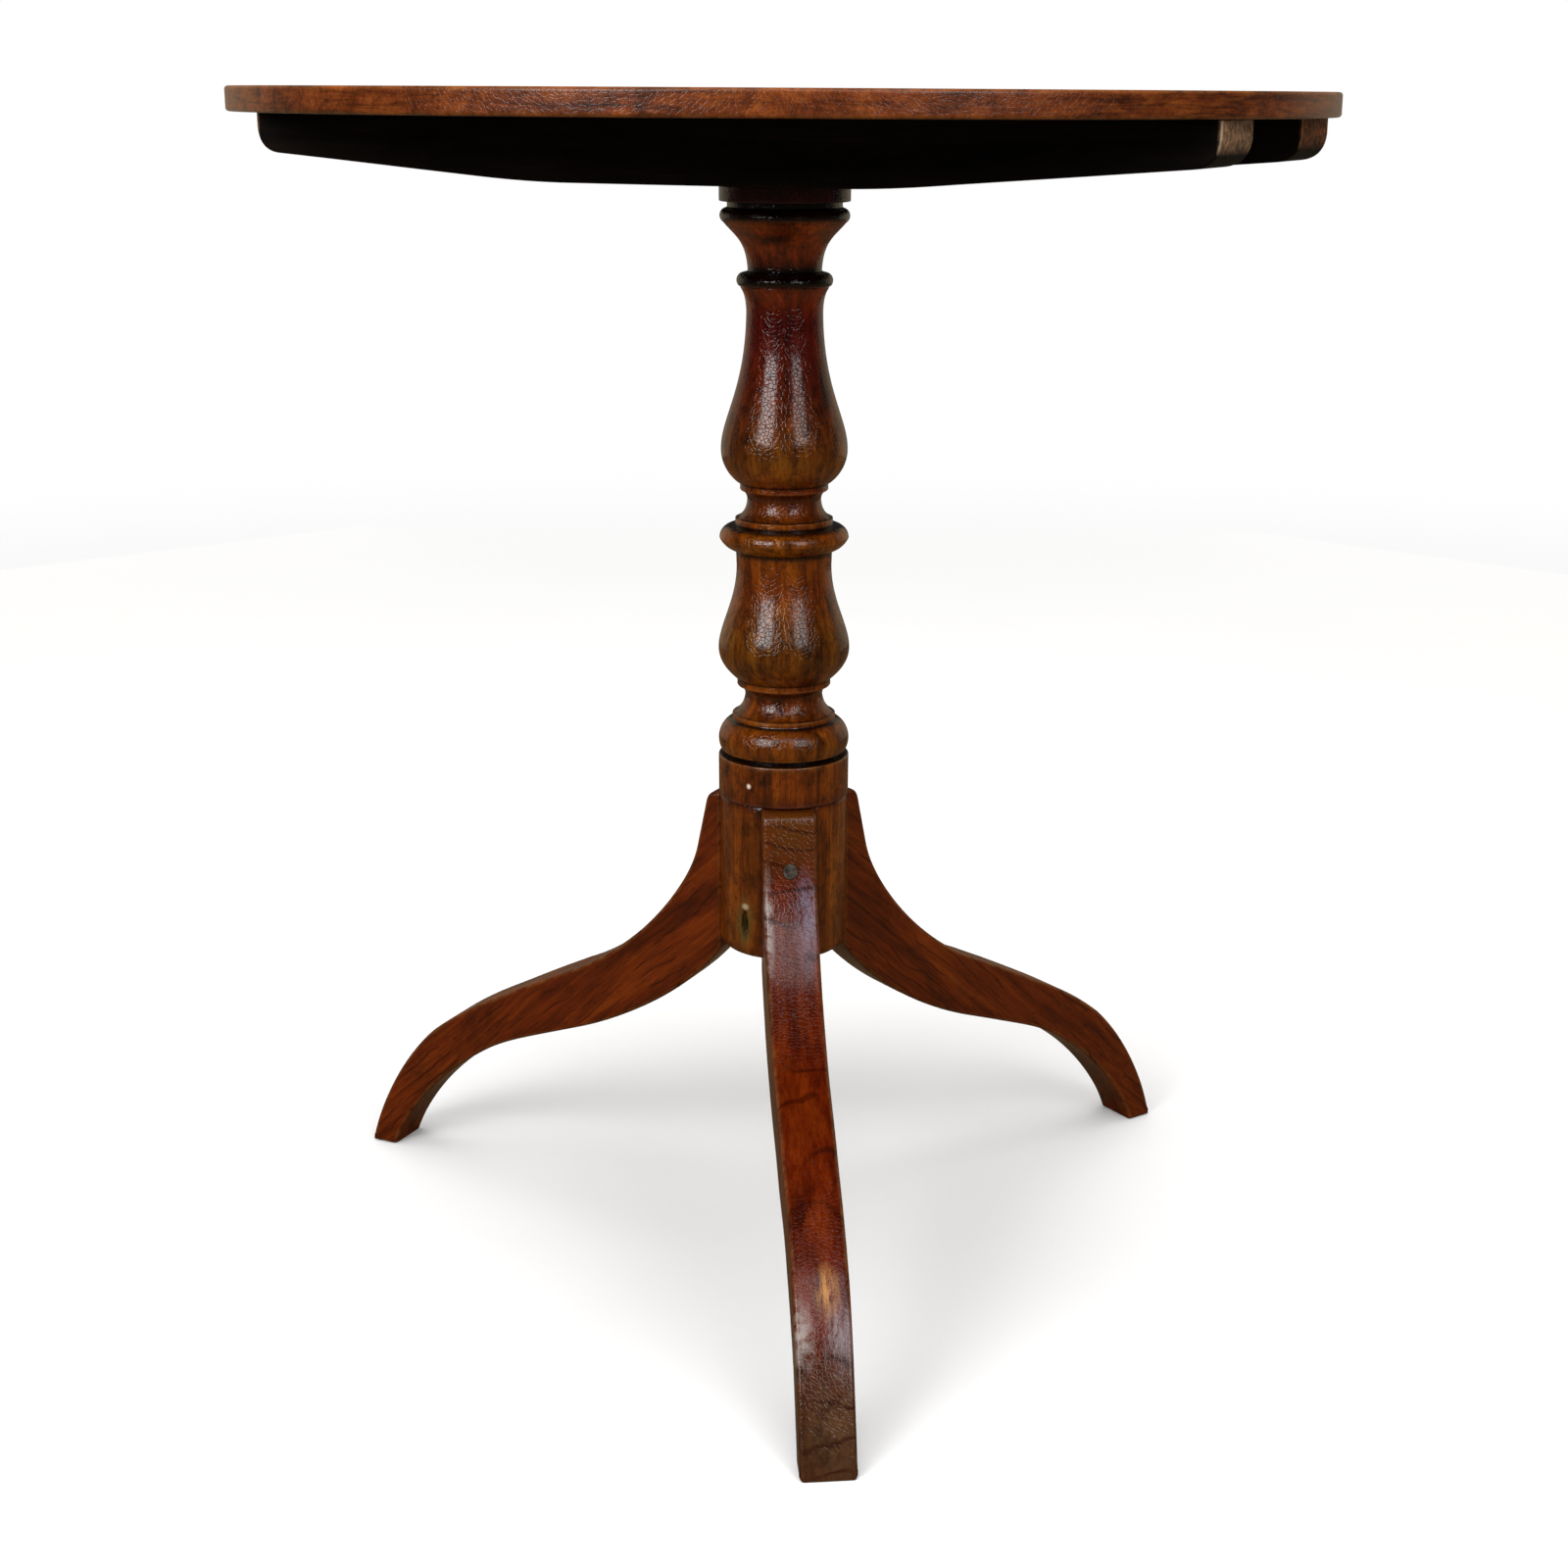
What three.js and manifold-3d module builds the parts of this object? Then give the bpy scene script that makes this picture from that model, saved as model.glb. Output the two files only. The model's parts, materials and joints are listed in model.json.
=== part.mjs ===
// Tilt top table: a round top on two bearers, hinged on a block at the head of a turned column
// that stands on three swept legs. Millimetres, +Z up, origin on the floor under the column.
// The bearers run along X, the top turns about an axis along Y, and leg 1 points along -X.
import * as THREE from "three";
import { mergeVertices } from "three/addons/utils/BufferGeometryUtils.js";
import Module from "manifold-3d";

// ---------- driving dimensions ----------
const GAP = 0.3; // between pieces that touch

const TABLE_HEIGHT = 720;
const TOP = { radius: 317, thickness: 13.6, arris: 1.4 };
const TOP_UNDERSIDE = TABLE_HEIGHT - TOP.thickness;

const BEARER = { halfLength: 292, width: 60, inner: 53.3, middleDepth: 37.3, endDepth: 24.1 };
const BLOCK = { halfLength: 60, halfWidth: 52, bottom: 667.4, topClearance: 0.5 };
const BLOCK_TOP = TOP_UNDERSIDE - BLOCK.topClearance;

// The block's upper corner is rounded about the pivot, so the top can swing past it.
const PIVOT = { radius: (BLOCK_TOP - BLOCK.bottom) / 2 };
PIVOT.x = BLOCK.halfLength - PIVOT.radius;
PIVOT.z = BLOCK_TOP - PIVOT.radius;
const PIN = { radius: 7, inBlock: 30, inBearer: 42, clearance: 0.4 };

const TENON = { radius: 19, top: BLOCK_TOP - 0.5 };
const WEDGE = { x: 6, halfWidth: 16.5, depth: 21, topWidth: 2.8, tipWidth: 0.8 };

const DRUM = { radius: 40, bandRadius: 40.7, bottom: 194.5, corner: 8, step: 295, top: 320.6 };
const LEG = { shoulder: 36.3, top: 294, root: 190, footInner: 297, footOuter: 316 };
const LEG_THICKNESS = { root: 33.5, foot: 31.5 };
const LEG_ANGLES = [180, -60, 60]; // degrees about Z
const DOVETAIL = { inner: 24, neck: 5.5, tail: 8, top: 286 }; // radius, half widths, height

const BEARER_SCREW = { head: 4.5, shank: 2.4, length: 34, tip: 5 };
const BEARER_SCREW_X = [-250, -125, 125, 250];
const BEARER_SCREW_TIP = TOP_UNDERSIDE + 9;
const LEG_SCREW = { head: 4, shank: 2.4, length: 38, tip: 6 };
const LEG_SCREW_Z = 259;
const LEG_SCREW_HEAD_RADIUS = 48; // where the head's face lies, from the column's axis
const PLUG = { radius: 4.6, inner: 48.4 };

const CATCH = { front: -65, back: -111, halfBody: 11, halfFlange: 24, flange: 1.6, bottom: 690.4 };
const BOLT = { halfWidth: 7.5, bottom: 692.5, top: 698.5, length: 40, travel: 10 };
const KNOB = { x: -92, stem: 2.5, ball: 6.5, ballZ: 678.5 };
const CATCH_SCREW = { head: 3.2, shank: 1.5, length: 11, tip: 3 };
const STRIKE = { thickness: 1.5, halfWidth: 20, bottom: 685, top: 705, screwY: 14 };
const STRIKE_SCREW = { head: 2.9, shank: 1.4, length: 14, tip: 3 };
const SOCKET = { halfWidth: 8.2, bottom: 691.8, top: 699.2, depth: 8 };

const COLUMN_SIDES = 32;
const TOP_SIDES = 72;
const SMALL_SIDES = 14;

// ---------- materials ----------
const wood = (color, roughness) => new THREE.MeshStandardMaterial({ color, roughness, metalness: 0 });
const metal = (color, roughness) => new THREE.MeshStandardMaterial({ color, roughness, metalness: 1 });
const topWood = () => wood(0x7a3c1e, 0.3);
const columnWood = () => wood(0x6b3210, 0.25);
const legWood = () => wood(0x5c2410, 0.28);
const plainWood = () => wood(0x4a2412, 0.55);
const wedgeWood = () => wood(0x8c6a3e, 0.6);
const filler = () => wood(0x7d7b6c, 0.6);
const brass = () => metal(0xb08a3c, 0.35);
const steel = () => metal(0x6f6a64, 0.45);

// ---------- solids ----------
const wasm = await Module();
wasm.setup();

function toSolid(geometry) {
  const bare = geometry.clone();
  bare.deleteAttribute("normal");
  bare.deleteAttribute("uv");
  const merged = mergeVertices(bare, 1e-3);
  return new wasm.Manifold(
    new wasm.Mesh({
      numProp: 3,
      vertProperties: merged.attributes.position.array,
      triVerts: new Uint32Array(merged.index.array),
    }),
  );
}

function toGeometry(solid) {
  const mesh = solid.getMesh();
  const geometry = new THREE.BufferGeometry();
  geometry.setAttribute("position", new THREE.BufferAttribute(mesh.vertProperties, 3));
  geometry.setIndex(new THREE.BufferAttribute(mesh.triVerts, 1));
  const flat = geometry.toNonIndexed();
  flat.computeVertexNormals();
  return flat;
}

const cut = (blank, ...tools) => tools.reduce((solid, tool) => solid.subtract(tool), blank);

function box(min, max) {
  const size = max.map((high, i) => high - min[i]);
  const centre = max.map((high, i) => (high + min[i]) / 2);
  return toSolid(new THREE.BoxGeometry(...size).translate(...centre));
}

// A profile of (radius, height) points from the bottom of the axis to its top, turned about Z.
function turned(points, sides) {
  return new THREE.LatheGeometry(points, sides).rotateX(Math.PI / 2);
}

function rod(radius, length, sides = SMALL_SIDES) {
  const points = [[0, 0], [radius, 0], [radius, length], [0, length]];
  return turned(points.map(([r, z]) => new THREE.Vector2(r, z)), sides);
}

// A shape drawn in (X, Z) and given a width along Y, from y = low to y = high.
function upright(shape, low, high, divisions = 6) {
  const geometry = new THREE.ExtrudeGeometry(shape, {
    depth: high - low,
    bevelEnabled: false,
    curveSegments: divisions,
  });
  return geometry.rotateX(Math.PI / 2).translate(0, high, 0);
}

function mesh(name, geometry, material) {
  const made = new THREE.Mesh(geometry, material);
  made.name = name;
  return made;
}

// ---------- screws ----------
// A slotted wood screw along +Z: its flat head lies at z = 0 and its tip at z = length.
function screwProfile({ head, shank, length, tip }, grow) {
  const h = head + grow;
  const s = shank + grow;
  const points = [[0, -grow], [h, -grow], [h, 0.4], [s, 0.4 + h - s], [s, length - tip], [0, length + grow]];
  return points.map(([r, z]) => new THREE.Vector2(r, z));
}

function screwGeometry(size) {
  const blank = toSolid(turned(screwProfile(size, 0), SMALL_SIDES));
  const slot = box([-size.head - 1, -0.5, -1], [size.head + 1, 0.5, 1]);
  return toGeometry(blank.subtract(slot));
}

// The hole that a screw needs, with a counterbore of the head's size down to z = -counterbore.
function screwHole(size, counterbore, place) {
  const hole = toSolid(turned(screwProfile(size, GAP), SMALL_SIDES).applyMatrix4(place));
  if (!counterbore) return hole;
  const bore = rod(size.head + GAP, counterbore).translate(0, 0, -counterbore).applyMatrix4(place);
  return hole.add(toSolid(bore));
}

function placeAt(x, y, z, turnX = 0, turnY = 0, turnZ = 0) {
  const turn = new THREE.Quaternion().setFromEuler(new THREE.Euler(turnX, turnY, turnZ));
  return new THREE.Matrix4().compose(new THREE.Vector3(x, y, z), turn, new THREE.Vector3(1, 1, 1));
}

function screwMesh(name, size, place, material) {
  const made = mesh(name, screwGeometry(size), material);
  made.applyMatrix4(place);
  return made;
}

// ---------- table top and bearers ----------
function bearerScrewPlaces() {
  const middle = BEARER.inner + BEARER.width / 2;
  const start = BEARER_SCREW_TIP - BEARER_SCREW.length;
  return [-middle, middle].flatMap((y) => BEARER_SCREW_X.map((x) => placeAt(x, y, start)));
}

function catchScrewPlaces() {
  const start = TOP_UNDERSIDE - GAP - CATCH.flange;
  const xs = [CATCH.front - 7, CATCH.back + 7];
  const y = (CATCH.halfBody + CATCH.halfFlange) / 2;
  return xs.flatMap((x) => [placeAt(x, -y, start), placeAt(x, y, start)]);
}

function topGeometry() {
  const { radius, arris } = TOP;
  const points = [
    [0, TOP_UNDERSIDE],
    [radius - arris, TOP_UNDERSIDE],
    [radius, TOP_UNDERSIDE + arris],
    [radius, TABLE_HEIGHT - arris],
    [radius - arris, TABLE_HEIGHT],
    [0, TABLE_HEIGHT],
  ];
  const board = toSolid(turned(points.map(([r, z]) => new THREE.Vector2(r, z)), TOP_SIDES));
  const holes = [
    ...bearerScrewPlaces().map((place) => screwHole(BEARER_SCREW, 0, place)),
    ...catchScrewPlaces().map((place) => screwHole(CATCH_SCREW, 0, place)),
  ];
  return toGeometry(cut(board, ...holes));
}

// Half of a bearer's side view, its underside drawn from the middle out to the rounded end.
function bearerShape() {
  const top = TOP_UNDERSIDE - GAP;
  const bottom = top - BEARER.middleDepth;
  const endBottom = top - BEARER.endDepth;
  const end = BEARER.halfLength;
  const shape = new THREE.Shape();
  shape.moveTo(-end, top);
  shape.lineTo(-end, endBottom + 15);
  shape.quadraticCurveTo(-end + 1, endBottom + 0.5, -end + 16, endBottom);
  shape.lineTo(-140, bottom + 2.5);
  shape.quadraticCurveTo(-108, bottom, -80, bottom);
  shape.lineTo(80, bottom);
  shape.quadraticCurveTo(108, bottom, 140, bottom + 2.5);
  shape.lineTo(end - 16, endBottom);
  shape.quadraticCurveTo(end - 1, endBottom + 0.5, end, endBottom + 15);
  shape.lineTo(end, top);
  return shape;
}

function bearerGeometry(side) {
  const faces = [side * BEARER.inner, side * (BEARER.inner + BEARER.width)].sort((a, b) => a - b);
  const blank = toSolid(upright(bearerShape(), ...faces));
  const reach = PIN.inBearer + BLOCK.halfWidth + 2;
  const bore = rod(PIN.radius + PIN.clearance, reach, 24)
    .rotateX((-side * Math.PI) / 2)
    .translate(PIVOT.x, 0, PIVOT.z);
  const holes = bearerScrewPlaces().map((place) => screwHole(BEARER_SCREW, 40, place));
  return toGeometry(cut(blank, toSolid(bore), ...holes));
}

// ---------- block, pins and strike plate ----------
function pinGeometry(side) {
  const start = side * (BLOCK.halfWidth - PIN.inBlock);
  return rod(PIN.radius, PIN.inBlock + PIN.inBearer, 24)
    .rotateX((-side * Math.PI) / 2)
    .translate(PIVOT.x, start, PIVOT.z);
}

function pinHole(side) {
  const start = side * (BLOCK.halfWidth - PIN.inBlock - GAP);
  return rod(PIN.radius + GAP, PIN.inBlock + PIN.inBearer, 24)
    .rotateX((-side * Math.PI) / 2)
    .translate(PIVOT.x, start, PIVOT.z);
}

function strikeScrewPlaces() {
  const x = -BLOCK.halfLength - GAP - STRIKE.thickness;
  const z = (SOCKET.bottom + SOCKET.top) / 2;
  return [-STRIKE.screwY, STRIKE.screwY].map((y) => placeAt(x, y, z, 0, Math.PI / 2, 0));
}

function blockGeometry() {
  const shape = new THREE.Shape();
  shape.moveTo(-BLOCK.halfLength, BLOCK.bottom);
  shape.lineTo(BLOCK.halfLength, BLOCK.bottom);
  shape.lineTo(BLOCK.halfLength, PIVOT.z);
  shape.absarc(PIVOT.x, PIVOT.z, PIVOT.radius, 0, Math.PI / 2, false);
  shape.lineTo(-BLOCK.halfLength, BLOCK_TOP);
  const blank = toSolid(upright(shape, -BLOCK.halfWidth, BLOCK.halfWidth));
  const mortise = rod(TENON.radius + GAP, 60, COLUMN_SIDES).translate(0, 0, BLOCK.bottom - 5);
  const socket = box(
    [-BLOCK.halfLength - 5, -SOCKET.halfWidth, SOCKET.bottom],
    [-BLOCK.halfLength + SOCKET.depth, SOCKET.halfWidth, SOCKET.top],
  );
  const pinHoles = [-1, 1].map((side) => toSolid(pinHole(side)));
  const screws = strikeScrewPlaces().map((place) => screwHole(STRIKE_SCREW, 0, place));
  return toGeometry(cut(blank, toSolid(mortise), socket, ...pinHoles, ...screws));
}

function strikeGeometry() {
  const outer = -BLOCK.halfLength - GAP - STRIKE.thickness;
  const plate = box(
    [outer, -STRIKE.halfWidth, STRIKE.bottom],
    [outer + STRIKE.thickness, STRIKE.halfWidth, STRIKE.top],
  );
  const slot = box(
    [outer - 1, -SOCKET.halfWidth, SOCKET.bottom],
    [outer + 3, SOCKET.halfWidth, SOCKET.top],
  );
  const screws = strikeScrewPlaces().map((place) => screwHole(STRIKE_SCREW, 2, place));
  return toGeometry(cut(plate, slot, ...screws));
}

// ---------- catch under the top ----------
function catchCaseGeometry() {
  const seat = TOP_UNDERSIDE - GAP;
  const flange = box(
    [CATCH.back, -CATCH.halfFlange, seat - CATCH.flange],
    [CATCH.front, CATCH.halfFlange, seat],
  );
  const body = box([CATCH.back, -CATCH.halfBody, CATCH.bottom], [CATCH.front, CATCH.halfBody, seat]);
  const channel = box(
    [CATCH.back + 2, -BOLT.halfWidth - GAP, BOLT.bottom - GAP],
    [CATCH.front + 5, BOLT.halfWidth + GAP, BOLT.top + GAP],
  );
  const stemSlot = box(
    [KNOB.x - KNOB.stem - GAP, -KNOB.stem - GAP, CATCH.bottom - 1],
    [KNOB.x + BOLT.travel + KNOB.stem + GAP, KNOB.stem + GAP, BOLT.bottom],
  );
  const screws = catchScrewPlaces().map((place) => screwHole(CATCH_SCREW, 2, place));
  return toGeometry(cut(flange.add(body), channel, stemSlot, ...screws));
}

// The bolt stands drawn back, with its nose flush with the case's mouth. The nose is bevelled below.
function boltGeometry() {
  const nose = CATCH.front;
  const tail = nose - BOLT.length;
  const shape = new THREE.Shape();
  shape.moveTo(tail, BOLT.bottom);
  shape.lineTo(nose - 2.5, BOLT.bottom);
  shape.lineTo(nose, BOLT.bottom + 2.5);
  shape.lineTo(nose, BOLT.top);
  shape.lineTo(tail, BOLT.top);
  return upright(shape, -BOLT.halfWidth, BOLT.halfWidth);
}

function knobGeometry() {
  const { stem, ball, ballZ } = KNOB;
  const bottom = ballZ - ball;
  const profile = new THREE.Path();
  profile.moveTo(0, bottom);
  profile.absarc(0, ballZ, ball, -Math.PI / 2, Math.PI / 3, false);
  profile.lineTo(stem + 1.6, ballZ + ball);
  profile.lineTo(stem, ballZ + ball + 1.5);
  profile.lineTo(stem, BOLT.bottom - GAP);
  profile.lineTo(0, BOLT.bottom - GAP);
  return turned(profile.getPoints(3), SMALL_SIDES).translate(KNOB.x, 0, 0);
}

// ---------- column ----------
// The turned outline from the foot of the drum up to the tenon, one moulding after another.
function columnProfile() {
  const { radius, bandRadius, bottom, corner, step, top } = DRUM;
  const quarter = Math.PI / 2;
  const p = new THREE.Path();
  p.moveTo(0, bottom);
  p.lineTo(radius - corner, bottom);
  p.absarc(radius - corner, bottom + corner, corner, -quarter, 0, false);
  p.lineTo(radius, step - 0.4);
  p.lineTo(bandRadius, step);
  p.lineTo(bandRadius, top - 0.6);
  p.lineTo(bandRadius - 0.6, top);
  p.lineTo(34.6, top + 0.7); // quirk over the drum
  p.lineTo(34.6, 323.8);
  p.absarc(26.4, 331, 14.2, -0.455, 1.15, false); // base torus
  p.lineTo(32, 344.4);
  p.lineTo(32, 347);
  p.quadraticCurveTo(25, 350, 24, 359); // cove
  p.quadraticCurveTo(24.2, 363.5, 28.6, 365);
  p.lineTo(28.9, 369);
  p.bezierCurveTo(33.5, 373, 40.5, 379, 40.5, 388.5); // lower vase
  p.bezierCurveTo(40.5, 402, 29.1, 418, 29.1, 440);
  p.lineTo(29.4, 449.4);
  p.quadraticCurveTo(36.5, 451, 39.5, 457.3);
  p.absarc(31.9, 457.3, 7.6, 0, quarter, false); // torus between the vases
  p.lineTo(29.8, 465.3);
  p.lineTo(29.8, 469.3);
  p.quadraticCurveTo(23.2, 471.5, 22.5, 480.5); // cove
  p.quadraticCurveTo(22.6, 485, 26.3, 486.3);
  p.lineTo(26.8, 490.3);
  p.bezierCurveTo(31, 492.5, 38.4, 500, 38.4, 511); // upper vase
  p.bezierCurveTo(38.4, 530, 23.6, 546, 23, 592);
  p.lineTo(23.5, 606);
  p.absarc(23.8, 611, 4.6, -quarter, quarter, false); // astragal
  p.lineTo(22.1, 616.5);
  p.bezierCurveTo(23, 634, 28.5, 634, 37.2, 642.5); // flare under the head
  p.absarc(33.4, 648, 4.3, -0.75, 1.25, false); // bead
  p.lineTo(34.2, 653.4);
  p.lineTo(34.2, 655);
  p.lineTo(38.3, 655.4);
  p.lineTo(38.9, 656.2);
  p.lineTo(38.9, BLOCK.bottom - GAP - 1);
  p.lineTo(38.2, BLOCK.bottom - GAP);
  p.lineTo(TENON.radius, BLOCK.bottom - GAP);
  p.lineTo(TENON.radius, TENON.top);
  p.lineTo(0, TENON.top);
  return p.getPoints(4);
}

function wedgeShape(x, grow) {
  const shape = new THREE.Shape();
  const top = TENON.top + (grow ? 1 : -GAP);
  shape.moveTo(x - WEDGE.tipWidth / 2 - grow, TENON.top - WEDGE.depth - grow);
  shape.lineTo(x + WEDGE.tipWidth / 2 + grow, TENON.top - WEDGE.depth - grow);
  shape.lineTo(x + WEDGE.topWidth / 2 + grow, top);
  shape.lineTo(x - WEDGE.topWidth / 2 - grow, top);
  return shape;
}

const wedgeGeometry = (x) => upright(wedgeShape(x, 0), -WEDGE.halfWidth, WEDGE.halfWidth);
const kerf = (x) => toSolid(upright(wedgeShape(x, GAP), -TENON.radius - 1, TENON.radius + 1));

// A leg's dovetail in plan, widening inwards from the drum's flat; grow makes the socket's outline.
function dovetailShape(grow) {
  const { inner, neck, tail } = DOVETAIL;
  const outer = LEG.shoulder + 1;
  const shape = new THREE.Shape();
  shape.moveTo(inner - grow, -tail - grow);
  shape.lineTo(outer, -neck - grow);
  shape.lineTo(outer, neck + grow);
  shape.lineTo(inner - grow, tail + grow);
  return shape;
}

function dovetail(grow) {
  const bottom = DRUM.bottom - (grow ? 1 : 0);
  return new THREE.ExtrudeGeometry(dovetailShape(grow), {
    depth: DOVETAIL.top + grow - bottom,
    bevelEnabled: false,
  }).translate(0, 0, bottom);
}

const turnTo = (degrees) => new THREE.Matrix4().makeRotationZ(THREE.MathUtils.degToRad(degrees));

// The screw that draws a leg to the drum, for a leg along +X: it enters the leg and points inwards.
const legScrewPlace = () => placeAt(LEG_SCREW_HEAD_RADIUS, 0, LEG_SCREW_Z, 0, -Math.PI / 2, 0);

function legSeat(degrees) {
  const turn = turnTo(degrees);
  const flat = new THREE.BoxGeometry(20, 60, DRUM.step - DRUM.bottom + 20)
    .translate(LEG.shoulder - GAP + 10, 0, (DRUM.step + DRUM.bottom) / 2 - 10)
    .applyMatrix4(turn);
  const place = turn.clone().multiply(legScrewPlace());
  return toSolid(flat)
    .add(toSolid(dovetail(GAP).applyMatrix4(turn)))
    .add(screwHole(LEG_SCREW, 0, place));
}

function columnGeometry() {
  const blank = toSolid(turned(columnProfile(), COLUMN_SIDES));
  const seats = LEG_ANGLES.map(legSeat);
  return toGeometry(cut(blank, ...seats, kerf(-WEDGE.x), kerf(WEDGE.x)));
}

// ---------- legs ----------
// A leg's side view for a leg along +X: over the knee to the toe, then back under to the drum.
function legShape() {
  const { shoulder, top, root, footInner, footOuter } = LEG;
  const shape = new THREE.Shape();
  shape.moveTo(shoulder, root);
  shape.lineTo(shoulder, top);
  shape.lineTo(41.5, top - 0.6);
  shape.quadraticCurveTo(46.3, top - 1.6, 47.4, top - 8);
  shape.lineTo(54, 256);
  shape.bezierCurveTo(61, 224, 103, 176, 150, 156);
  shape.bezierCurveTo(187, 137, 232, 117, 262, 92);
  shape.bezierCurveTo(286, 70, 308, 34, footOuter, 0);
  shape.lineTo(footInner, 0);
  shape.bezierCurveTo(285, 33, 250, 68, 215, 88);
  shape.bezierCurveTo(193, 100, 163, 108.5, 140, 117);
  shape.bezierCurveTo(103, 131, 58, 158, shoulder, root);
  return shape;
}

// The leg thins evenly from its root to its foot.
function thinTowardsFoot(geometry) {
  const position = geometry.attributes.position;
  for (let i = 0; i < position.count; i++) {
    const along = (position.getX(i) - LEG.shoulder) / (LEG.footOuter - LEG.shoulder);
    const thickness = THREE.MathUtils.lerp(LEG_THICKNESS.root, LEG_THICKNESS.foot, along);
    position.setY(i, (position.getY(i) * thickness) / LEG_THICKNESS.root);
  }
  return geometry;
}

const legBlank = () =>
  toSolid(thinTowardsFoot(upright(legShape(), -LEG_THICKNESS.root / 2, LEG_THICKNESS.root / 2)));

function legGeometry() {
  const counterbore = 20;
  const place = legScrewPlace();
  const plugHole = rod(PLUG.radius + GAP, 30)
    .rotateY(Math.PI / 2)
    .translate(PLUG.inner - GAP, 0, LEG_SCREW_Z);
  const screw = screwHole(LEG_SCREW, counterbore, place);
  return toGeometry(legBlank().add(toSolid(dovetail(0))).subtract(screw).subtract(toSolid(plugHole)));
}

function plugGeometry() {
  const dowel = rod(PLUG.radius, 30).rotateY(Math.PI / 2).translate(PLUG.inner, 0, LEG_SCREW_Z);
  return toGeometry(legBlank().intersect(toSolid(dowel)));
}

// ---------- assembly ----------
function baseGroup() {
  const group = new THREE.Group();
  group.add(mesh("column", columnGeometry(), columnWood()));
  group.add(mesh("block", blockGeometry(), plainWood()));
  group.add(mesh("tenon_wedge_1", wedgeGeometry(-WEDGE.x), wedgeWood()));
  group.add(mesh("tenon_wedge_2", wedgeGeometry(WEDGE.x), wedgeWood()));
  group.add(mesh("pivot_pin_front", pinGeometry(-1), plainWood()));
  group.add(mesh("pivot_pin_back", pinGeometry(1), plainWood()));
  group.add(mesh("strike_plate", strikeGeometry(), brass()));
  strikeScrewPlaces().forEach((place, i) => {
    group.add(screwMesh(`strike_screw_${i + 1}`, STRIKE_SCREW, place, brass()));
  });
  LEG_ANGLES.forEach((degrees, i) => {
    const leg = new THREE.Group();
    leg.rotation.z = THREE.MathUtils.degToRad(degrees);
    leg.add(mesh(`leg_${i + 1}`, legGeometry(), legWood()));
    leg.add(screwMesh(`leg_screw_${i + 1}`, LEG_SCREW, legScrewPlace(), steel()));
    leg.add(mesh(`leg_plug_${i + 1}`, plugGeometry(), filler()));
    group.add(leg);
  });
  return group;
}

function topGroup() {
  const group = new THREE.Group();
  group.add(mesh("table_top", topGeometry(), topWood()));
  group.add(mesh("bearer_front", bearerGeometry(-1), plainWood()));
  group.add(mesh("bearer_back", bearerGeometry(1), plainWood()));
  bearerScrewPlaces().forEach((place, i) => {
    group.add(screwMesh(`bearer_screw_${i + 1}`, BEARER_SCREW, place, steel()));
  });
  group.add(mesh("catch_case", catchCaseGeometry(), brass()));
  catchScrewPlaces().forEach((place, i) => {
    group.add(screwMesh(`catch_screw_${i + 1}`, CATCH_SCREW, place, brass()));
  });
  group.add(mesh("catch_bolt", boltGeometry(), brass()));
  group.add(mesh("catch_knob", knobGeometry(), brass()));
  return group;
}

const table = new THREE.Group();
table.add(baseGroup(), topGroup());

export default table;
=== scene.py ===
"""Looks for the tilt top table: finely turned and shaped pieces in polished mahogany, with aged
brass and steel fittings, on a plain pale floor. Outlines are in millimetres, objects in metres."""

import json
import math

import bmesh
import bpy
from mathutils import Matrix, Vector, noise


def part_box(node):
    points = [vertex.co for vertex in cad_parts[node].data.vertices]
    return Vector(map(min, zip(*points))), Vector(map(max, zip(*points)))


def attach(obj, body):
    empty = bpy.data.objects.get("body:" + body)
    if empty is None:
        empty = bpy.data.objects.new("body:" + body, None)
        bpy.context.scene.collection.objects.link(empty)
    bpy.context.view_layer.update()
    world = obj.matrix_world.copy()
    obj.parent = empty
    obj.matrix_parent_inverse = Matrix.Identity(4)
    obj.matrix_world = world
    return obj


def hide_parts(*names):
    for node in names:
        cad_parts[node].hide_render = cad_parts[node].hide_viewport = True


MM = 0.001

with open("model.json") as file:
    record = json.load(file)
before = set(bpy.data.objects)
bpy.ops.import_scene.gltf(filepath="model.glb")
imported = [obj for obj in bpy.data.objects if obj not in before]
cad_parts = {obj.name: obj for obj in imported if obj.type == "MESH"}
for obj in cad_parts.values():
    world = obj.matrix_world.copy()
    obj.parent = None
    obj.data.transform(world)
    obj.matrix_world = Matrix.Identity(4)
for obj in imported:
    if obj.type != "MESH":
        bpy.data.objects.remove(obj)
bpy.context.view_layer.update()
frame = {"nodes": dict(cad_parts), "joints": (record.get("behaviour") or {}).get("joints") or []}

# ---------- measures, from the frame ----------
top_low, top_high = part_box("table_top")
RIM_RADIUS = (top_high[0] - top_low[0]) / 2 / MM
TOP_Z = top_high[2] / MM
UNDERSIDE_Z = top_low[2] / MM
TILT = next(joint for joint in frame["joints"] if joint["name"] == "top_tilt")
PIVOT_X, PIVOT_Z = TILT["pos_m"][0] / MM, TILT["pos_m"][2] / MM

# ---------- measures of the CAD's shapes, in millimetres and degrees ----------
GAP = 0.3  # between pieces that touch

BEARER_END_DEPTH = 24.1
BELOW_BEARERS_Z = 640
BEARER_SCREWS = 8
SCREW_BORE_RADIUS = 4.9
PIN_BORE_RADIUS = 7.4
PIN_BORE_DEPTH = 44

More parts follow.
